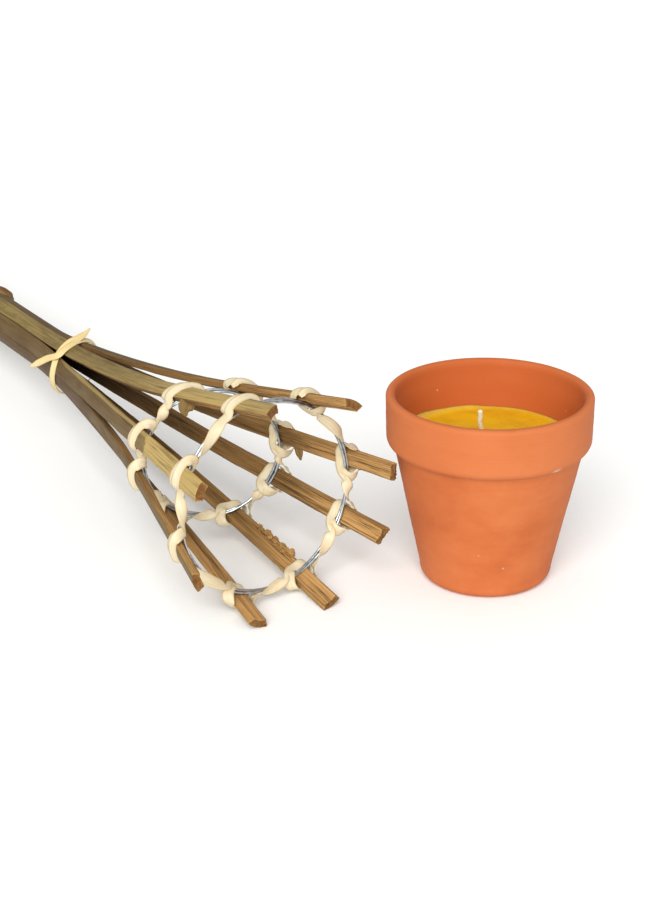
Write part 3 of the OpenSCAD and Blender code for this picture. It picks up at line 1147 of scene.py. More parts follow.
@dataclass
class Slat:
    """One slat: a sector of the culm's wall, bent out from the tie and sawn at its end."""

    number: int
    axes: TorchAxes
    tone: float
    fray: float = 0.3
    # How much dust and painted shade its split wood takes
    dark: float = 1.0
    peels_at: float = 0.0
    radius: float = 14.5
    wall: float = 4.3
    half_angle: float = 22.0
    step: float = 1.25
    open_from: float = 526.0
    open_to: float = 600.0

    # Rings of fibre ends stepping in over the sawn end: share of the section's size, and
    # how much of the saw-cut look each has
    END_RINGS = ((0.96, 0.15), (0.82, 1.0), (0.52, 1.0), (0.27, 1.0))

    def measure(self) -> None:
        """Finds the slat's centreline, its end and its end's slant from its node."""
        points, triangles = node_mesh(self.node)
        points = self.axes.local(points)
        start, tip = points[:, 0].min(), points[:, 0].max()
        rough = section_centres(points, triangles, np.array([tip - 40, tip - 25]))
        along = unit(rough[1] - rough[0])
        reach = points @ along
        ends = points[reach > reach.max() - 12]
        stations = np.concatenate([[start + 0.02],
                                   np.arange(start + 4, ends[:, 0].min() - 1, 4.0)])
        middle = section_centres(points, triangles, stations)
        q, s, _ = self.outline(9, 5, 9)
        twice = q * np.roll(s, -1) - s * np.roll(q, -1)
        offset = ((q + np.roll(q, -1)) * twice).sum() / (3 * twice.sum())
        middle = smoothed(middle, 6)
        # The end's slant is how its corners' reach changes across the slat
        across = self.axes_at(middle[-1:], along[None, :])[1][0]
        sideways = (ends - middle[-1]) @ across
        slope, level = np.polyfit(sideways, (ends - middle[-1]) @ along, 1)
        self.slant = float(slope)
        full = np.concatenate([middle, (middle[-1] + along * level)[None, :]])
        run = run_along(full)
        self.run = np.linspace(0, run[-1], int(run[-1] / self.step) + 1)
        line = smoothed(np.stack([np.interp(self.run, run, full[:, c]) for c in range(3)], 1),
                        10)
        self.ahead = unit(np.gradient(line, axis=0))
        self.out, self.round = self.axes_at(line, self.ahead)
        self.line = line - self.out * offset

    @property
    def node(self) -> str:
        """The slat's node in the frame."""
        return f"slat_{self.number}"

    def axes_at(self, line: Array, ahead: Array) -> tuple[Array, Array]:
        """Finds which way the skin faces, and the way round, along the slat.

        Args:
            line: Places on the centreline.
            ahead: Directions along it.

        Returns:
            Directions out through the skin, and directions of rising bearing.
        """
        out = square_to(line * np.array([0, 1, 1]), ahead)
        return out, np.cross(ahead, out)

    def outline(self, skin: int, side: int, bore: int) -> tuple[Array, ...]:
        """Lists the points of the slat's section, round from one edge of its skin.

        Args:
            skin: Points across the skin.
            side: Points down each split side.
            bore: Points across the inner face.

        Returns:
            Heights above the middle of the wall, places across, and the side each is on.
        """
        middle = self.radius - self.wall / 2
        top = np.radians(np.linspace(-1, 1, skin) * (self.half_angle - 1.1))
        low = np.radians(np.linspace(1, -1, bore) * (self.half_angle - 1.3))
        bore_r = self.radius - self.wall
        depth = np.linspace(self.radius - 0.25, bore_r + 0.2, side)
        edge = math.radians(self.half_angle)
        q = np.concatenate([self.radius * np.cos(top), depth * math.cos(edge),
                            bore_r * np.cos(low), depth[::-1] * math.cos(edge)]) - middle
        s = np.concatenate([self.radius * np.sin(top), depth * math.sin(edge),
                            bore_r * np.sin(low), -depth[::-1] * math.sin(edge)])
        return q, s, np.repeat([int(k) for k in Side], [skin, side, bore, side])

    def at(self, x: float) -> int:
        """The number of the sample nearest a distance along the pole."""
        return int(np.abs(self.line[:, 0] - x).argmin())

    def build(self) -> None:
        """Makes the slat with split fibres on its faces and a sawn, frayed end."""
        seed = 100 * self.number
        kind, high, aside = self.relief(seed)
        run = self.run[:, None]
        lean = step_between(run, self.run[-1] - 10, self.run[-1])
        ragged = lean ** 4 * self.fray * (0.8 * smooth_noise(
            aside / 0.8, high / 0.8, seed + 8) + 1.2 * self.layered(high, aside, seed + 9))
        grid = [self.line[:, None, :] + high[..., None] * self.out[:, None, :]
                + aside[..., None] * self.round[:, None, :]
                + (lean * aside * self.slant + ragged)[..., None] * self.ahead[:, None, :]]
        highs, asides, cuts = [high], [aside], [0 * high]
        for share, sawn in self.END_RINGS:
            q_in = high[-1:] * share + (1 - share) * high[-1].mean()
            s_in = aside[-1:] * share
            rough = self.fray * (0.9 * smooth_noise(s_in / 0.7, q_in / 0.7, seed + 10)
                                 + 1.3 * self.layered(q_in, s_in, seed + 9))
            grid.append(self.line[-1] + q_in[..., None] * self.out[-1]
                        + s_in[..., None] * self.round[-1]
                        + (s_in * self.slant + rough)[..., None] * self.ahead[-1])
            highs.append(q_in)
            asides.append(s_in)
            cuts.append(np.full_like(q_in, sawn))
        grid = np.concatenate(grid)
        rows, columns = grid.shape[:2]
        faces = [list(face) for face in grid_faces(rows, columns, False, True)]
        last, hub = (rows - 1) * columns, rows * columns
        faces += [[last + j, last + (j + 1) % columns, hub] for j in range(columns)]
        faces.append(list(range(columns))[::-1])
        points = np.concatenate([grid.reshape(-1, 3), grid[-1].mean(0)[None, :]])
        high, aside, cut = (np.append(np.concatenate(m), middle) for m, middle in (
            (highs, 0.0), (asides, 0.0), (cuts, 1.0)))
        kind = np.append(np.tile(kind, rows), Side.BORE)
        x = np.full(hub + 1, self.line[-1, 0])
        x[:len(self.line) * columns] = np.repeat(self.line[:, 0], columns)
        arc = self.arc_start + aside
        fresh = self.fresh_at(x, kind)
        tone = self.tone + 0.3 * smooth_noise(x / 40, arc / 9, seed + 12)
        if self.peels_at:
            bare = self.bared(x, aside)
            tone = tone * (1 - bare) + 0.1 * bare
            fresh = fresh + (kind == Side.SKIN) * bare * 0.7
        self.piece = make_piece(
            f"bamboo_slat_{self.number}", self.axes.place(points), faces, {
                "grain": (x, arc, high),
                "face": (kind == Side.SKIN, cut,
                         (kind == Side.RISING) | (kind == Side.FALLING)),
                "wear_and_shade": (fresh, self.dust_and_shade_at(x, kind), np.clip(tone, 0, 1))})

    def relief(self, seed: int) -> tuple[Array, Array, Array]:
        """Roughens the section along the slat: waxy skin, torn sides and torn bore.

        Args:
            seed: Which relief to take.

        Returns:
            The side of each point of the section, and each point's height above the
            middle of the wall and place across, at every sample along the slat.
        """
        q, s, kind = self.outline(15, 8, 13)
        x, run = self.line[:, :1], self.run[:, None]
        opened = step_between(x, self.open_from, self.open_to)
        held = 0.12 + 0.88 * opened
        on_skin, on_bore = kind == Side.SKIN, kind == Side.BORE
        way = 1.0 * (kind == Side.RISING) - 1.0 * (kind == Side.FALLING)
        # Each edge wanders as the split follows the fibres, most at the slat's edges
        wander_up = 0.34 * smooth_noise(run / 34, 0, seed + 1, 2)
        wander_down = 0.34 * smooth_noise(run / 34, 0, seed + 2, 2)
        shift = np.where(s > 0, wander_up, wander_down) * np.abs(s) / 5.4
        # Fibre relief: its height, then its size across and along, in millimetres
        ridges = 0.20 * smooth_noise(q / 0.7, run / 26, seed + 3, 2)
        plates = 0.30 * np.round(1.2 * smooth_noise(q / 1.9, run / 38, seed + 4)) * 0.6
        tear = 0.24 * smooth_noise(s / 0.75, run / 24, seed + 5, 2)
        dip = 0.30 * smooth_noise(s / 3.2, run / 30, seed + 6)
        ripple = 0.045 * smooth_noise(s / 1.4, run / 80, seed + 7)
        high = q + held * on_bore * (tear + dip) + on_skin * ripple * opened
        if self.peels_at:
            high = high + on_skin * 0.4 * (1 - self.bared(x, s[None, :]))
        return kind, high, s + held * (shift + way * (ridges + plates))

    def layered(self, high: Array, aside: Array, seed: int) -> Array:
        """Steps a sawn or torn end into layers of fibre.

        Args:
            high: Heights above the middle of the wall.
            aside: Places across the slat.
            seed: Which layers to take.

        Returns:
            How far each place stands ahead, from about -1 to 1.
        """
        return np.round(1.6 * smooth_noise(high / 1.3, aside / 6, seed)) / 1.6

    def bared(self, x: Array, across: Array) -> Array:
        """Where the brown outer skin has come away: past a ragged line, and at one edge.

        Args:
            x: Places along the pole.
            across: Places across the slat.

        Returns:
            Shares from 0, skin in place, to 1, bare.
        """
        line = x - self.peels_at - 3.2 * smooth_noise(across / 2.4, 0, 151, 2)
        edge = across + 3.3 + 0.8 * smooth_noise(x / 18, 0, 152)
        stripe = 0.55 * step_between(-edge, 0, 0.6) * step_between(x, 575, 620)
        return np.maximum(step_between(line, -0.8, 0.8), stripe)

    @property
    def arc_start(self) -> float:
        """Where round the culm this slat was split from, in millimetres of arc."""
        return math.radians(FIRST_BEARING + PITCH * (self.number - 1)) * self.radius

    def fresh_at(self, x: Array, kind: Array) -> Array:
        """How fresh and pale the bamboo is: more so towards the basket's mouth.

        Args:
            x: Places along the pole.
            kind: Which face each is on.

        Returns:
            Shares from 0 to 1.
        """
        mouth = step_between(x, 785, 838)
        skin = (0.12 + 0.80 * step_between(x, 640, 840)) * (1 - 0.8 * self.tone)
        wood = 0.15 * step_between(x, 600, 720) + 0.78 * mouth
        side = 0.25 + 0.65 * mouth
        return np.where(kind == Side.SKIN, skin, np.where(kind == Side.BORE, wood, side))

    def dust_and_shade_at(self, x: Array, kind: Array) -> Array:
        """How dark the split wood is painted, with dust and painted shade: nearly black
        inside the throat of the basket.

        Args:
            x: Places along the pole.
            kind: Which face each is on.

        Returns:
            Shares from 0 to 1.
        """
        # Dust and painted shade, darkest in the throat by the tie and fading out towards the
        # mouth, on the inner face and on the split sides between the slats
        inner = 0.95 - 0.45 * step_between(x, 560, 660) - 0.50 * step_between(x, 660, 790)
        side = 0.68 - 0.20 * step_between(x, 545, 600) - 0.48 * step_between(x, 620, 780)
        wood = np.where(kind == Side.BORE, inner, side)
        return np.where(kind == Side.SKIN, 0.0, self.dark * wood)

    def dress(self, split: Material) -> None:
        """Dresses the slat."""
        hand_over(self.piece, split, Body.TORCH, Slot.SPLIT, self.node)


@dataclass
class SlatFan:
    """All eight slats, and what has come loose from them."""

    axes: TorchAxes
    tones: tuple[float, ...] = (0.05, 0.85, 0.95, 0.8, 0.6, 0.5, 0.7, 1.0)
    frays: tuple[float, ...] = (0.12, 0.2, 0.25, 0.3, 0.2, 0.75, 0.7, 0.15)
    # How much dust and painted shade each slat's split wood takes
    darks: tuple[float, ...] = (0.7, 0.8, 1.0, 0.6, 0.7, 1.05, 1.0, 0.5)
    peeling: tuple[float, ...] = (0.0, 788.0, 0.0, 0.0, 0.0, 0.0, 0.0, 0.0)
    slats: list[Slat] = field(default_factory=list)

    def skin_tone(self, bearing: Array) -> Array:
        """The skin's tone round the pole, running on from the slats' own tones.

        Args:
            bearing: Bearings in degrees.

        Returns:
            Tones from 0, olive, to 1, grey-brown.
        """
        numbers = np.arange(-2, SLATS + 3)
        start = FIRST_BEARING - PITCH
        return np.interp((bearing - start) % 360 + start, FIRST_BEARING + PITCH * numbers,
                         [self.tones[k % SLATS] for k in numbers])

    def build(self) -> None:
        """Measures and makes every slat."""
        kinds = zip(self.tones, self.frays, self.darks, self.peeling, strict=True)
        for number, (tone, fray, dark, peels_at) in enumerate(kinds, 1):
            slat = Slat(number, self.axes, tone, fray, dark, peels_at)
            slat.measure()
            slat.build()
            self.slats.append(slat)

    def dress(self, split: Material) -> None:
        """Dresses every slat."""
        for slat in self.slats:
            slat.dress(split)


# ---------------------------------------------------------------- rings and peel


@dataclass
class WireRing:
    """A ring of galvanised wire, two turns laid round each other."""

    name: str
    node: str
    ring: Ring
    axes: TorchAxes
    wire_radius: float = 0.75
    apart: float = 0.82
    lay: float = 2.5
    turns: float = 2.05
    start: float = 228.0
    sides: int = 14
    step: float = 1.5

    def build(self) -> None:
        """Sweeps the wire round twice, with the two turns twisted about each other."""
        turn = np.arange(0, self.turns * 360, self.step)
        bearing = self.start + turn
        twist = np.radians(turn) * self.lay
        spread = self.apart * (1 + 0.06 * smooth_noise(turn / 25, 0, 41))
        wobble = 0.10 * smooth_noise(turn / 33, 0, 42)
        middle = self.ring.place(bearing, spread * np.cos(twist) + wobble,
                                 spread * np.sin(twist))
        ahead = unit(np.gradient(middle, axis=0))
        out = square_to(np.stack([0 * turn, np.cos(np.radians(bearing)),
                                  np.sin(np.radians(bearing))], axis=-1), ahead)
        side = np.cross(ahead, out)
        a = full_turn(self.sides)
        local = (middle[:, None, :] + self.wire_radius * (
            np.cos(a)[None, :, None] * out[:, None, :]
            + np.sin(a)[None, :, None] * side[:, None, :]))
        run = np.radians(turn)[:, None] * self.ring.radius
        self.piece = make_piece(self.name, self.axes.place(local),
                                tube_faces(len(turn), self.sides),
                                {"grain": (run, a * self.wire_radius, 0.0)})

    def dress(self, wire: Material) -> None:
        """Dresses the ring."""
        hand_over(self.piece, wire, Body.TORCH, Slot.WIRE, self.node)


@dataclass
class Strip:
    """A flat strip of peel swept along a path."""

    width: float = 6.0
    thick: float = 0.34
    cells: int = 6
    seed: int = 0
    tip: float = 0.45
    taper: float = 5.0
    rooted: bool = False

    def sweep(self, name: str, axes: TorchAxes, middle: Array, normal: Array,
              shape: Callable | None = None, own: dict[str, tuple] | None = None
              ) -> Piece:
        """Makes the strip.

        Args:
            name: The piece's name.
            axes: The torch's axes.
            middle: Places along its middle, in millimetres.
            normal: The way its face looks at each place.
            shape: Moves the surface points clear of what they lie on, or None.
            own: Marks in place of the strip's, or None.

        Returns:
            The strip's piece.
        """
        run = run_along(middle)
        ahead = unit(smoothed(unit(np.gradient(middle, axis=0)), 2))
        normal = square_to(normal, ahead)
        side = np.cross(ahead, normal)
        half = self.width / 2 * (1 + 0.07 * smooth_noise(run / 14, 0, self.seed, 2))
        near_end = run[-1] - run if self.rooted else np.minimum(run, run[-1] - run)
        taper = self.tip + (1 - self.tip) * step_between(near_end, -1, self.taper)
        u = np.linspace(-1, 1, self.cells + 1)
        across = u[None, :] * (half * taper)[:, None]
        across = across + 0.12 * smooth_noise(run / 9, 0, self.seed + 1)[:, None]
        cup = 0.16 * (1 - u[None, :] ** 2) * smooth_noise(
            run / 22, 0, self.seed + 2)[:, None]
        sheet = (middle[:, None, :] + across[..., None] * side[:, None, :]
                 + cup[..., None] * normal[:, None, :])
        if shape is not None:
            sheet = shape(sheet)
        # Face directions of the moved sheet, for its thickness
        du, dv = np.gradient(sheet, axis=0), np.gradient(sheet, axis=1)
        face_way = unit(np.cross(du, dv))
        flip = np.sign((face_way * normal[:, None, :]).sum(-1, keepdims=True))
        face_way = unit(smoothed(face_way * np.where(flip == 0, 1, flip), 2))
        top = sheet + face_way * self.thick / 2
        low = sheet - face_way * self.thick / 2
        loop = np.concatenate([top, low[:, ::-1]], axis=1)
        # How sharply the strip bends; the finish paints the sharp folds with warm shade
        bend = np.linalg.norm(np.gradient(face_way[:, self.cells // 2], axis=0), axis=1)
        bend = bend / np.maximum(np.gradient(run), 1e-6)
        fold = np.clip((smoothed(bend[:, None], 4) - 0.25) / 0.6, 0, 1)
        u_loop = np.concatenate([u, u[::-1]])
        marks = {"grain": (run[:, None], u_loop * self.width / 2, self.seed),
                 "face": (step_between(np.abs(u_loop), 0.7, 1.0), fold, 0.0)}
        return make_piece(name, axes.place(loop), tube_faces(*loop.shape[:2], inward=True),
                          marks | (own or {}))


@dataclass
class Crossing:
    """Where a slat crosses a ring: its bearing, and how it leans there."""

    bearing: float
    out: float
    out_slope: float
    round_slope: float


@dataclass
class Lashing:
    """Peel wound round a ring's wire between the slats and bound over each slat.

    Going round towards lower bearings, it passes over the slat's skin, comes under the
    far edge across the wire, goes back over the slat's inner face on the pole's side of
    the wire, and passes over the skin again before it winds on along the wire.
    """

    name: str
    node: str
    ring: Ring
    axes: TorchAxes
    slats: list[Slat]
    seed: int = 60
    wire_reach: float = 1.62
    wound_at: float = 1.95
    leaves: float = 10.4
    comes: float = 9.6
    step: float = 0.7
    clear: float = 0.22

    # Cosine of a slat's half angle
    SIDE_COS = 0.927
    # How the strip rolls round the wire between slats: share of the way, and degrees
    ROLL = ((0.0, -196), (0.12, -226), (0.30, -250), (0.50, -272), (0.70, -302),
            (0.86, -332), (1.0, -352))
    # Keys of one binding: towards lower bearings, out from the slat's middle, ahead,
    # and which way the strip's face looks there
    BINDING = (
        (-7.4, -1.0, 2.4, -0.75, 0.55, 0.4),
        (-5.0, 2.3, 2.8, -0.40, 0.85, 0.4),
        (0.0, 3.3, 2.8, 0.0, 0.9, 0.42),
        (5.0, 2.4, 2.9, 0.40, 0.85, 0.4),
        (7.6, 0.2, 3.2, 0.55, 0.4, 0.7),
        (8.7, -2.6, 2.7, 0.3, 0.0, 0.95),
        (8.4, -5.0, 1.9, 0.1, -0.45, 0.9),
        (6.5, -6.3, -0.6, 0.05, -0.8, 0.6),
        (4.0, -5.4, -3.2, 0.05, -0.85, 0.5),
        (0.0, -3.8, -4.4, 0.0, -0.87, 0.45),
        (-4.4, -3.5, -4.3, -0.4, -0.85, 0.3),
        (-7.0, -0.6, -3.7, -1.0, 0.0, 0.0),
        (-5.0, 2.4, -2.6, -0.40, 0.9, 0.15),
        (0.0, 3.2, -1.2, 0.0, 0.95, 0.3),
        (5.0, 2.2, -0.6, 0.45, 0.9, 0.1),
        (7.4, -0.6, -1.9, 0.9, 0.3, -0.3),
        (8.4, -3.6, -2.5, 0.5, 0.0, -0.85),
    )

    def crossing(self, slat: Slat) -> Crossing:
        """Measures where a slat crosses the ring.

        Args:
            slat: The slat.

        Returns:
            The crossing.
        """
        bearing, out, ahead = self.ring.found(slat.line)
        k = int(np.abs(ahead).argmin())
        near = slice(max(k - 6, 0), k + 7)
        turn = np.unwrap(np.radians(bearing[near]))
        round_fit = np.polyfit(ahead[near], turn, 1)
        out_fit = np.polyfit(ahead[near], out[near], 1)
        radius = self.ring.radius + out_fit[1]
        return Crossing(math.degrees(round_fit[1]) % 360, out_fit[1], out_fit[0],
                        -round_fit[0] * radius)

    def keys(self) -> Array:
        """Lists the strip's keys right round the ring, from one slat on to itself.

        Returns:
            Rows of distance run towards lower bearings, out, ahead, and the face's way.
        """
        rows = []
        order = self.slats[::-1]
        radius = self.ring.radius
        self.crossings = found = [self.crossing(slat) for slat in order]
        turned = 0.0
        for k, (slat, cross) in enumerate(zip(order, found, strict=True)):
            if k:
                turned += (found[k - 1].bearing - cross.bearing) % 360
            middle = math.radians(turned) * radius
            for j, (t, q, x, nt, nq, nx) in enumerate(self.BINDING):
                spread = 1 + 0.06 * math.sin(2.1 * slat.number + j)
                q_at = cross.out + q + cross.out_slope * x
                t_at = t * spread + cross.round_slope * x
                rows.append((middle + t_at, q_at, x, nt, nq, nx))
            if k < SLATS - 1:
                gap = math.radians((cross.bearing - found[k + 1].bearing) % 360) * radius
                rows += self.wind(middle + self.leaves, middle + gap - self.comes)
        return np.array(rows)

    def wind(self, start: float, end: float) -> list[tuple]:
        """Rolls the strip from inside the wire, past its mouth side, to outside it.

        Args:
            start: Where it starts, in millimetres run.
            end: Where it ends.

        Returns:
            Keys in the same form as keys gives.
        """
        rows = []
        for share, turn in self.ROLL:
            angle = math.radians(turn)
            q, x = math.cos(angle), math.sin(angle)
            rows.append((start + (end - start) * share, self.wound_at * q,
                         self.wound_at * x, 0.0, q, x))
        return rows

    def clear_of_wood(self, run: Array, out: Array, ahead: Array
                      ) -> tuple[Array, Array, Array]:
        """Moves points out of the wire and out of the slats.

        Args:
            run: Distances run towards lower bearings.
            out: Distances outside the wire's middle.
            ahead: Distances ahead of it.

        Returns:
            The moved places.
        """
        radius = self.ring.radius
        reach = np.maximum(np.hypot(out, ahead), 1e-6)
        grow = np.maximum(reach, self.wire_reach + self.clear) / reach
        out, ahead = out * grow, ahead * grow
        skin, wall = self.slats[0].radius, self.slats[0].wall / 2
        slope = math.tan(math.radians(self.slats[0].half_angle))
        turned = 0.0
        for k, cross in enumerate(self.crossings):
            if k:
                turned += (self.crossings[k - 1].bearing - cross.bearing) % 360
            t = run - math.radians(turned) * radius - cross.round_slope * ahead
            q = out - cross.out - cross.out_slope * ahead
            over = q - (wall - t * t / (2 * skin)) - self.clear
            under = -q - (wall + t * t / (2 * skin - 4 * wall)) - self.clear
            aside = (np.abs(t) - slope * (skin - wall + q)) * self.SIDE_COS - self.clear
            deepest = np.maximum(np.maximum(over, under), aside)
            inside = (deepest < 0) & (np.abs(t) < 9)
            by_over = inside & (over == deepest)
            by_under = inside & (under == deepest)
            by_side = inside & (aside == deepest)
            out = np.where(by_over, out - over, np.where(by_under, out + under, out))
            run = np.where(by_side, run - aside / self.SIDE_COS * np.sign(t), run)
        return run, out, ahead

    def build(self) -> None:
        """Sweeps the strip along its keys and lets it lie on wire and wood."""
        path = smooth_path(self.keys(), self.step)
        first = self.crossings[0].bearing
        radius = self.ring.radius
        bearing = first - np.degrees(path[:, 0] / radius)
        middle = self.ring.place(bearing, path[:, 1], path[:, 2])
        way = self.ring.turned(bearing, path[:, 3:6])

        def lie(sheet: Array) -> Array:
            """Moves the sheet clear, keeping it smooth along the strip.

            Args:
                sheet: Places on the strip's surface.

            Returns:
                The moved places.
            """
            flat = sheet.reshape(-1, 3)
            angle, out, ahead = self.ring.found(flat)
            near = np.repeat(bearing, sheet.shape[1])
            angle = near + (angle - near + 180) % 360 - 180
            run = np.radians(first - angle) * radius
            for _ in range(3):
                run, out, ahead = self.clear_of_wood(run, out, ahead)
                evened = smoothed(np.stack([run, out, ahead], -1).reshape(sheet.shape), 1)
                run, out, ahead = evened.reshape(-1, 3).T
            run, out, ahead = self.clear_of_wood(run, out, ahead)
            return self.ring.place(first - np.degrees(run / radius), out,
                                   ahead).reshape(sheet.shape)

        self.piece = Strip(seed=self.seed).sweep(self.name, self.axes, middle, way, lie)

    def dress(self, peel: Material) -> None:
        """Dresses the lashing."""
        hand_over(self.piece, peel, Body.TORCH, Slot.PEEL, self.node)


@dataclass
class PoleTie:
    """A strip of peel knotted round the slats where they leave the pole."""

    axes: TorchAxes
    at: float = 578.0
    radius: float = 19.1
    lean: float = 0.6
    lean_bearing: float = 138.0
    cone: float = 0.9

    # The loose ends: place, counted from where the tie is, and the way the face looks
    LOW_END = ((-16.0, -25.2, 1.4, 0.7, -0.6, 0.4), (-6.0, -22.4, 6.1, 0.7, -0.6, 0.4),
               (4.0, -19.6, 10.9, 0.6, -0.6, 0.5))
    HIGH_END = ((8.6, -5.6, 20.4, 0.6, -0.3, 0.75), (7.0, 0.5, 21.4, 0.75, -0.3, 0.6),
                (4.6, 6.0, 22.8, 0.8, -0.3, 0.5), (2.0, 10.6, 24.8, 0.8, -0.3, 0.5))
    # The band between them: bearing, how far outside its own line, and how far ahead
    BAND = ((136, 1.9, 1.2), (126, 1.5, 1.6), (114, 0.9, 1.4), (98, 0.4, 0.8),
            (78, 0.1, 0.2), (56, 0.1, 0), (32, 0.1, 0), (8, 0, 0), (-16, 0, 0),
            (-40, 0, 0), (-64, 0, 0), (-88, 0, 0), (-112, 0, 0), (-136, 0.1, 0),
            (-158, 0.1, 0), (-178, 0.1, 0.2), (-192, 0.2, 0.2), (-206, 0.4, -0.6),
            (-220, 0.5, -2.2), (-236, 0.6, -3.0))

    def round_bundle(self, bearing: float, out: float, ahead: float) -> tuple[float, ...]:
        """A key on the band: its place and the way it faces.

        Args:
            bearing: Bearing in degrees.
            out: Distance outside the band's own line.
            ahead: Distance ahead of it.

        Returns:
            Place and direction.
        """
        a, b = math.radians(bearing), math.radians(self.lean_bearing)
        r = self.radius + out + self.cone * math.cos(a - b)
        x = self.lean * r * math.cos(a - b) + ahead
        return (x, r * math.cos(a), r * math.sin(a), 0.45, math.cos(a), math.sin(a))

    def build(self) -> None:
        """Runs the strip from one loose end, round the bundle, to the other."""
        band = [self.round_bundle(*key) for key in self.BAND]
        keys = np.array([*self.LOW_END, *band, *self.HIGH_END], float)
        keys[:, 0] += self.at
        path = smooth_path(keys, 0.7)
        self.piece = Strip(width=4.5, thick=0.5, seed=80, tip=0.3, taper=11).sweep(
            "peel_tie", self.axes, path[:, :3], unit(path[:, 3:6]))

    def dress(self, peel: Material) -> None:
        """Dresses the tie."""
        hand_over(self.piece, peel, Body.TORCH, Slot.PEEL, "pole_tie")


@dataclass
class LooseBits:
    """What has come loose: pith crumbs, a splinter, a torn flap and a fibre."""

    axes: TorchAxes
    slats: list[Slat]
    pieces: list[Piece] = field(default_factory=list)

    # Crumbs of pith on the fifth slat: along, across and out from its middle, and radius
    CRUMBS = ((793, 3.6, -2.2, 1.0), (797, 4.3, -2.0, 1.3), (801, 2.8, -2.6, 1.6),
              (804, 4.7, -1.8, 1.7), (808, 3.4, -2.8, 1.9), (812, 4.9, -1.9, 1.6),
              (815, 3.2, -2.7, 2.0), (819, 4.6, -2.2, 1.8), (822, 3.4, -2.9, 2.1),
              (826, 5.0, -2.0, 2.0), (829, 4.0, -2.7, 1.7))

    def on_slat(self, number: int, x: float, across: float, height: float
                ) -> tuple[Array, Array, Array]:
        """Finds a place on a slat, from its middle line.

        Args:
            number: The slat's number.
            x: How far along the pole.
            across: How far across the slat.
            height: How far out from the middle of its wall.

        Returns:
            The place in the torch's axes, and the ways across and out there.
        """
        slat = self.slats[number - 1]
        k = slat.at(x)
        way, out = slat.round[k], slat.out[k]
        return slat.line[k] + across * way + height * out, way, out

    def crumb(self, name: str, middle: Array, size: float, seed: int) -> None:
        """Makes a ragged lump of pith.

        Args:
            name: The piece's name.
            middle: Where it sits.
            size: Its radius.
            seed: Which shape to give it.
        """
        rows, columns = 16, 24
        v = np.linspace(0.02, np.pi - 0.02, rows)[:, None]
        a = full_turn(columns)[None, :]
        ball = np.stack([np.sin(v) * np.cos(a) * 1.5, np.sin(v) * np.sin(a),
                         np.cos(v) + 0 * a], axis=-1)
        rough = 1 + 0.50 * smooth_noise(ball[..., 0] * 1.9 + seed, ball[..., 1] * 1.9
                                        + ball[..., 2] * 1.7, seed, 3)
        points = middle + size * ball * rough[..., None]
        self.pieces.append(make_piece(
            name, self.axes.place(points), tube_faces(rows, columns, inward=True), {
                "grain": np.moveaxis(points * 0.8, -1, 0), "face": (0.0, 0.0, 1.0),
                "wear_and_shade": (1.0, 0.0, 0.5)}, smooth=False))

    def shred(self, name: str, keys: list, width: float, thick: float, seed: int,
              wear_and_shade: tuple[float, float, float], skin: float = 0.0) -> None:
        """Makes a torn strip of bamboo.

        Args:
            name: The piece's name.
            keys: Places and face directions along its middle.
            width: Its width at its root.
            thick: Its thickness.
            seed: Which unevenness to give it.
            wear_and_shade: How fresh, dark and grey it is.
            skin: How much of its face is skin.
        """
        step = 0.35
        path = smooth_path(np.array(keys, float), step)
        strip = Strip(width, thick, seed=seed, tip=0.12, taper=0.6 * len(path) * step,
                      rooted=True)
        self.pieces.append(strip.sweep(name, self.axes, path[:, :3], unit(path[:, 3:6]),
                                       own={"face": (skin, 0.0, 0.2), "wear_and_shade": wear_and_shade}))

    def build(self) -> None:
        """Makes the bits where they have caught."""
        for k, (x, across, height, size) in enumerate(self.CRUMBS):
            self.crumb(f"pith_crumb_{k + 1}", self.on_slat(5, x, across, height)[0], size,
                       160 + k)
        root, way, out = self.on_slat(7, 800, -3.2, -2.0)
        self.shred("splinter", [
            (*root, *-out), (*(root - 2.2 * way + [1.0, 0, 0] - 0.3 * out), *-out),
            (*(root - 4.4 * way + [2.2, 0, 0] - 0.8 * out), *-out),
            (*(root - 6.6 * way + [3.4, 0, 0] - 1.5 * out), *-out)], 7.0, 0.4, 171,
            (0.35, 0.05, 0.5), 0.3)
        root, way, out = self.on_slat(1, 790, 2.6, -2.2)
        self.shred("torn_flap", [
            (*root, 0.9, -0.3, 0.35), (*(root + 2.6 * way - 2.0 * out), 0.85, -0.3, 0.5),
            (*(root + 4.2 * way - 4.4 * out + [-0.8, 0, 0]), 0.85, -0.1, 0.5),
            (*(root + 4.8 * way - 6.8 * out + [-0.4, 0, 0]), 0.85, 0.1, 0.4)], 8.2, 0.35,
            172, (0.25, 0.1, 0.7), 0.8)
        root, _, _ = self.on_slat(6, 690, 3.0, -2.0)
        self.shred("loose_fibre", [(*(root + move), 1, 0, 0) for move in (
            [0, 0, 0], [4, -3.4, 1.6], [9, -5.4, 1.0], [15, -6.0, -1.6])], 0.5, 0.25, 173,
            (0.2, 0.3, 0.5))

    def dress(self, split: Material) -> None:
        """Dresses the bits."""
        for piece in self.pieces:
            hand_over(piece, split, Body.TORCH, Slot.SPLIT)


# ---------------------------------------------------------------- the pot and its candle


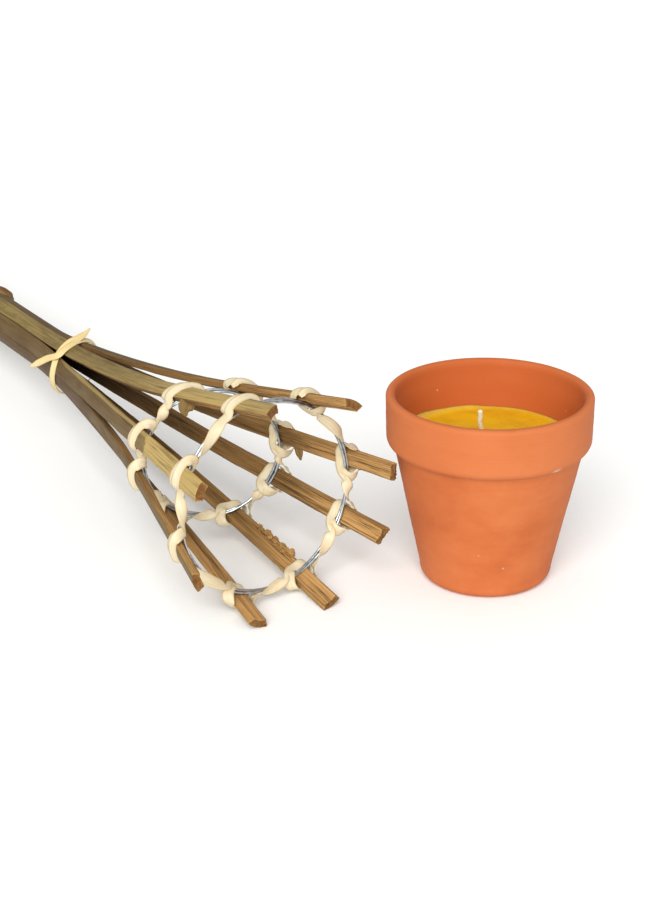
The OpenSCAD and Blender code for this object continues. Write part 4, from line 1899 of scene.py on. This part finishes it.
@dataclass
class Pot:
    """The terracotta pot: a tapered body, a collar, and a rounded lip."""

    rim: float = 55.4
    height: float = 105.0
    collar: float = 28.0
    neck: float = 51.0
    base: float = 36.0
    wall: float = 5.8
    foot_round: float = 6.0
    floor: float = 8.0
    hole: float = 7.0
    around: int = 240
    scuff_at: float = 0.115

    def measure(self) -> None:
        """Takes the pot's place and height from its node."""
        low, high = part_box("pot")
        self.centre = np.array([(low.x + high.x) / 2, (low.y + high.y) / 2, low.z])
        self.height = (high.z - low.z) / MM
        self.rim = (high.x - low.x) / 2 / MM

    @property
    def step(self) -> float:
        """Height of the collar's lower edge."""
        return self.height - self.collar

    def inner(self, z: Array) -> Array:
        """Inner radius at a height.

        Args:
            z: Heights above the ground in millimetres.

        Returns:
            Radii in millimetres.
        """
        step = self.step
        return np.where(
            z > step,
            self.neck - self.wall + (z - step) * (self.rim - 6.2 - self.neck + self.wall)
            / self.collar,
            self.base - self.wall + (z - self.floor) * (self.neck - self.base)
            / (step - self.floor))

    def profile(self) -> Array:
        """Lists the section's outline from the drain hole round the outside and in.

        Returns:
            Rows of radius, height and whether it is inside.
        """
        base_in, turned, step = self.base - self.foot_round, self.foot_round, self.step
        low = float(self.inner(np.array(self.floor)))
        rows = [(self.hole, 0.6, 0), (self.hole + 0.6, 0.05, 0)]
        rows += [(r, 0.0, 0) for r in np.linspace(self.hole + 3, base_in, 8)]
        rows += self.arc((base_in, turned), (turned, turned), np.arange(-80, 1, 8), 0)
        rows += [(self.base + (self.neck - self.base) * t, turned + (step - turned) * t, 0)
                 for t in np.linspace(0, 1, 46)[1:-1]]
        rows += [(self.neck, step - 0.7, 0), (self.neck + 0.25, step - 0.15, 0)]
        rows += self.arc((self.rim - 4.6, step + 4.3), (4.2, 4.4), np.arange(-84, 1, 9), 0)
        rows += [(self.rim - 0.42 + 0.40 * t, z, 0) for t, z in zip(
            np.linspace(0, 1, 20), np.linspace(step + 5, self.height - 3.0, 20),
            strict=True)]
        rows += self.arc((self.rim - 2.2, self.height - 2.2), (2.2, 2.2),
                         np.arange(6, 91, 10), 0)
        rows += self.arc((self.rim - 3.3, self.height - 2.2), (2.0, 2.2),
                         np.arange(100, 181, 12), 0.6)
        for z in np.linspace(self.height - 3.6, self.floor + 5, 44):
            thin = 0.95 * float(step_between(np.array(z), self.height - 15, self.height - 4))
            rows.append((float(self.inner(np.array(z))) + thin, z, 1))
        rows += self.arc((low - 4, self.floor + 4), (4, -4), np.arange(10, 91, 16), 1)
        rows += [(r, self.floor, 1) for r in np.linspace(low - 6, self.hole, 6)]
        return np.array(rows, float)

    def arc(self, middle: tuple[float, float], reach: tuple[float, float],
            degrees: Array, within: float) -> list[tuple[float, float, float]]:
        """Lists the rows of a rounded corner of the section.

        Args:
            middle: The corner's centre, as radius and height.
            reach: Its radii, outwards and upwards.
            degrees: Where round it the rows are.
            within: Whether it is inside.

        Returns:
            Rows of radius, height and whether they are inside.
        """
        return [(middle[0] + reach[0] * math.cos(a), middle[1] + reach[1] * math.sin(a),
                 within) for a in np.radians(degrees)]

    def build(self) -> None:
        """Turns the pot, a little uneven as a machine-made pot is."""
        rows = self.profile()
        r, z, within = (rows[:, k:k + 1] for k in range(3))
        a = full_turn(self.around)[None, :]
        body = step_between(z, 1, 12) * (1 - within)
        waver = 0.16 * np.cos(2 * a + 0.7) + 0.10 * np.cos(3 * a + 2.0)
        lines = 0.07 * smooth_noise(z / 2.6, 0, 91, 2)
        dents = 0.14 * smooth_noise(r * np.cos(a) / 15 + z / 30, r * np.sin(a) / 15 - z / 40,
                                    92, 2)
        radius = r + body * (waver * 0.6 - 0.16 + lines + dents) - within * 0.08
        radius = np.minimum(radius, self.rim)
        chip = np.exp(-((a - 5.9) / 0.05) ** 2) * np.exp(-((z - self.height) / 2) ** 2)
        height = np.clip(z - 0.35 * chip * (r > self.rim - 4), 0, self.height)
        place = np.stack([radius * np.cos(a), radius * np.sin(a), height], axis=-1) * MM
        # Places round the collar's lower edge, in millimetres
        around = a * 55
        scuff = (np.exp(-((around - self.scuff_at * 55) / 2.0) ** 2)
                 * np.exp(-((z - self.step - 1.4) / 0.9) ** 2) * (1 - within))
        scuff = scuff * (0.6 + 0.6 * smooth_noise(around / 0.9, z / 0.5, 94))
        high = step_between(z, self.step + 1, self.step + 5) * (1 - within)
        # The face mark: inside, which the finish paints with shade, the chalk scuff, and the
        # collar
        self.piece = make_piece(
            "terracotta_pot", self.centre + place,
            grid_faces(len(rows), self.around, True, True), {
                "grain": (r * np.cos(a), z, r * np.sin(a)),
                "face": (within, np.clip(scuff * 3.2, 0, 1), high)})

    def dress(self, clay: Material) -> None:
        """Dresses the pot."""
        hand_over(self.piece, clay, Body.POT, Slot.CLAY, "pot")


@dataclass
class Candle:
    """The wax in the pot, its wick, and the small parts that hold them."""

    pot: Pot
    around: int = 180
    yarns: int = 3
    film_at: float = 3.6
    gap: float = 0.12

    def measure(self) -> None:
        """Takes the wax's and the wick's places from their nodes."""
        low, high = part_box("wax")
        self.bottom = (low.z - self.pot.centre[2]) / MM
        self.top = (high.z - self.pot.centre[2]) / MM - 1.6
        points, _ = node_mesh("wick")
        local = (points - self.pot.centre) / MM
        self.wick_base = local[local[:, 2] < self.top - 1].mean(0)[:2]
        tip = local[local[:, 2] > local[:, 2].max() - 0.01].mean(0)
        self.wick_tip = tip + np.array([1.0, 1.7, 0.6])

    def build(self) -> None:
        """Makes the wax and the wick."""
        self.wax = self.pour()
        self.wick = self.braid()

    def pour(self) -> Piece:
        """Makes the wax: a sunk, rippled top with a film left up the wall.

        Returns:
            The wax's piece.
        """
        a = full_turn(self.around)[None, :]
        edge = float(self.pot.inner(np.array(self.top))) - self.gap
        t = np.concatenate([np.linspace(0.02, 0.86, 34), np.linspace(0.88, 1.0, 12)])[:, None]
        film = 0.9 + 0.8 * smooth_noise(3 * np.cos(a), 3 * np.sin(a), 101, 2)
        film = film + 2.6 * np.exp(-(np.angle(np.exp(1j * (a - self.film_at))) / 0.5) ** 2)
        climb = np.clip((t - 0.90) / 0.10, 0, 1) ** 2.2
        clouds = smooth_noise(t * 5 * np.cos(a) + 9, t * 5 * np.sin(a), 102, 2)
        sag = -0.9 * (1 - t ** 2) + 0.35 * clouds
        z = self.top + sag * (1 - climb) + film * climb
        r = edge * t + (self.pot.inner(z) - self.gap - edge) * climb
        x, y = r * np.cos(a), r * np.sin(a)
        from_wick = np.hypot(x - self.wick_base[0], y - self.wick_base[1])
        z = z + 1.1 * np.exp(-(from_wick / 2.4) ** 1.5)
        deep = self.top - 1.5 - self.bottom
        side_z = np.linspace(1, 0, 16)[:, None] * deep + self.bottom
        side_r = np.minimum(self.pot.inner(side_z) - self.gap,
                            float(self.pot.inner(np.array(self.pot.floor))) - 4.1
                            + (side_z - self.bottom) * 1.1)
        points = np.concatenate([
            np.stack([x, y, z], axis=-1),
            np.stack([side_r * np.cos(a), side_r * np.sin(a), side_z + 0 * a], axis=-1)])
        # Where the film's colour goes: up the wall, as the film and as painted shade, and on
        # the hidden sides
        thin = np.concatenate([np.clip(climb, 0, 1), np.full_like(side_z, 0.3)])
        return make_piece("candle_wax", self.pot.centre + points * MM,
                          tube_faces(*points.shape[:2], inward=True),
                          {"grain": np.moveaxis(points, -1, 0), "face": (thin, 0.0, 0.0)})

    def braid(self) -> Piece:
        """Makes the wick: yarns braided together, leaning over above the wax.

        Returns:
            The wick's piece.
        """
        base, tip = self.wick_base, self.wick_tip
        low = self.pot.floor + 0.8
        keys = np.array([
            (*base, low), (*base, self.top - 6), (*base, self.top),
            (base[0] - 0.2, base[1] - 0.4, self.top + 4),
            (base[0] - 0.7, base[1] - 1.2, self.top + 8),
            (tip[0] * 0.75 + base[0] * 0.25, tip[1] * 0.75 + base[1] * 0.25, self.top + 11.5),
            (*tip[:2], tip[2] - 0.1)], float)
        path = smooth_path(keys, 0.22)
        run = run_along(path)[:, None]
        ahead = unit(np.gradient(path, axis=0))
        out = unit(np.cross(ahead, [0.0, 1.0, 0.0]))
        side = np.cross(ahead, out)
        a = full_turn(30)[None, :]
        twist = run / 3.4 * 2 * np.pi
        lobes = np.abs(np.cos((a * self.yarns + twist) / 2)) ** 0.7
        plait = np.abs(np.cos((a * self.yarns - twist) / 2)) ** 0.7
        girth = 0.98 + 0.32 * np.maximum(lobes, plait)
        end = step_between(run[-1] - run, 0, 0.9) ** 0.5
        girth = girth * (0.35 + 0.65 * end) * (
            1 + 0.12 * step_between(run, run[-1] - 3, run[-1] - 1))
        local = (path[:, None, :] + girth[..., None] * (
            np.cos(a)[..., None] * out[:, None, :] + np.sin(a)[..., None] * side[:, None, :]))
        soaked = 1 - 0.75 * step_between(run, run[-1] - 9, run[-1] - 3)
        return make_piece("candle_wick", self.pot.centre + local * MM,
                          tube_faces(*local.shape[:2]),
                          {"grain": (run, a * 1.1, girth), "face": (soaked, 0.0, 0.0)})

    def dress(self, wax: Material, cotton: Material,
              tin: Material, cork: Material) -> None:
        """Dresses the candle's parts.

        Args:
            wax: The wax's material.
            cotton: The wick's material.
            tin: The sustainer's material.
            cork: The drain plug's material.
        """
        hand_over(self.wax, wax, Body.POT, Slot.WAX, "wax")
        hand_over(self.wick, cotton, Body.POT, Slot.COTTON, "wick")
        for node, material in (("wick_sustainer", tin), ("drain_plug", cork)):
            kept = frame["nodes"][node]
            kept.data.materials.clear()
            kept.data.materials.append(material)
            LOG.info("%s: kept from the frame", node)


# ---------------------------------------------------------------- the studio


@dataclass
class Studio:
    """The camera, the white floor and the soft light."""

    eye: tuple[float, float, float] = (1.1453, -0.4389, 0.4489)
    heading: tuple[float, float] = (-0.8755, 0.4833)
    dip: float = 23.0
    roll: float = -0.43
    lens: float = 72.0
    sensor: float = 36.0
    key_from: tuple[float, float] = (0.80, -0.62)
    key_height: float = 34.0
    key_power: float = 3.4
    key_spread: float = 46.0
    room_light: float = 0.62
    floor_half: float = 6.0

    def set_camera(self) -> None:
        """Places the camera and makes it the scene's own."""
        data = bpy.data.cameras.new("camera")
        data.lens, data.sensor_width, data.sensor_fit = self.lens, self.sensor, "AUTO"
        data.clip_start, data.clip_end = 0.05, 20.0
        camera = bpy.data.objects.new("camera", data)
        bpy.context.scene.collection.objects.link(camera)
        dip, roll = math.radians(self.dip), math.radians(self.roll)
        level = Vector((*self.heading, 0)).normalized()
        look = level * math.cos(dip) - Vector((0, 0, 1)) * math.sin(dip)
        right = look.cross(Vector((0, 0, 1))).normalized()
        up = right.cross(look)
        right, up = (right * math.cos(roll) + up * math.sin(roll),
                     up * math.cos(roll) - right * math.sin(roll))
        turn = Matrix((right, up, -look)).transposed().to_4x4()
        camera.matrix_world = Matrix.Translation(self.eye) @ turn
        bpy.context.scene.camera = camera

    def lay_floor(self) -> None:
        """Lays a wide sheet of white paper."""
        build = bmesh.new()
        bmesh.ops.create_grid(build, x_segments=24, y_segments=24,
                                size=self.floor_half)
        mesh = bpy.data.meshes.new("paper_floor")
        build.to_mesh(mesh)
        build.free()
        mesh.materials.append(StudioPaper("uncoated background paper").material())
        floor = bpy.data.objects.new("paper_floor", mesh)
        bpy.context.scene.collection.objects.link(floor)

    def light(self) -> None:
        """Lights the set from beside the camera, softly, in a white room."""
        lamp_data = bpy.data.lights.new("soft_key", "SUN")
        lamp_data.energy, lamp_data.angle = self.key_power, math.radians(self.key_spread)
        lamp = bpy.data.objects.new("soft_key", lamp_data)
        bpy.context.scene.collection.objects.link(lamp)
        height = math.radians(self.key_height)
        toward = (Vector((*self.key_from, 0)).normalized() * math.cos(height)
                  + Vector((0, 0, math.sin(height))))
        lamp.rotation_euler = (-toward).to_track_quat("-Z", "Y").to_euler()
        world = bpy.data.worlds.new("white_room")
        bpy.context.scene.world = world
        world.use_nodes = True
        tree = world.node_tree
        tree.nodes.clear()
        back = add_node(tree, "ShaderNodeBackground", inputs={
            "Color": (1, 1, 1, 1), "Strength": self.room_light})
        add_node(tree, "ShaderNodeOutputWorld", inputs={"Surface": back.outputs[0]})
        bpy.context.scene.view_settings.view_transform = "Standard"


def corners(box: object) -> list[list[float]]:
    """Turns a box's two corners to plain lists."""
    return [[float(v) for v in corner] for corner in box]


def main() -> None:
    """Builds the torch and the pot, sub-assembly by sub-assembly."""
    logging.basicConfig(level=logging.INFO, format="%(name)s: %(message)s")
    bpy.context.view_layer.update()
    studio = Studio()
    studio.set_camera()

    axes = TorchAxes.measured()
    skin = Culm("bamboo, seasoned skin").material()
    split = Culm("bamboo, split and seasoned").material()
    peel = Peel("rattan peel, shaved").material()
    wire = Galvanised("steel wire, galvanised").material()

    fan = SlatFan(axes)
    fan.build()
    fan.dress(split)
    pole = Pole(axes)
    pole.measure()
    pole.build(fan)
    pole.dress(skin)

    for name, start, seed in (("upper", 228.0, 60), ("lower", 250.0, 70)):
        ring = Ring.measured(f"{name}_ring", axes)
        hoop = WireRing(f"wire_{name}", f"{name}_ring", ring, axes, start=start)
        hoop.build()
        hoop.dress(wire)
        lashing = Lashing(f"peel_{name}", f"{name}_lashing", ring, axes, fan.slats,
                          seed=seed)
        lashing.build()
        lashing.dress(peel)
    bits = LooseBits(axes, fan.slats)
    bits.build()
    bits.dress(split)
    tie = PoleTie(axes)
    tie.build()
    tie.dress(Peel("rattan peel, yellowed", pale="d5c493", cream="cfb270",
                   warm="cc9440").material())

    pot = Pot()
    pot.measure()
    pot.build()
    pot.dress(Terracotta("terracotta, turned and fired").material())
    candle = Candle(pot)
    candle.measure()
    candle.build()
    candle.dress(CandleWax("citronella wax, poured").material(),
                 WaxedCotton("cotton, braided and waxed").material(),
                 Tinplate("tinplate, stamped").material(),
                 Cork("cork, pressed").material())

    studio.lay_floor()
    studio.light()


if __name__ == "__main__":
    main()
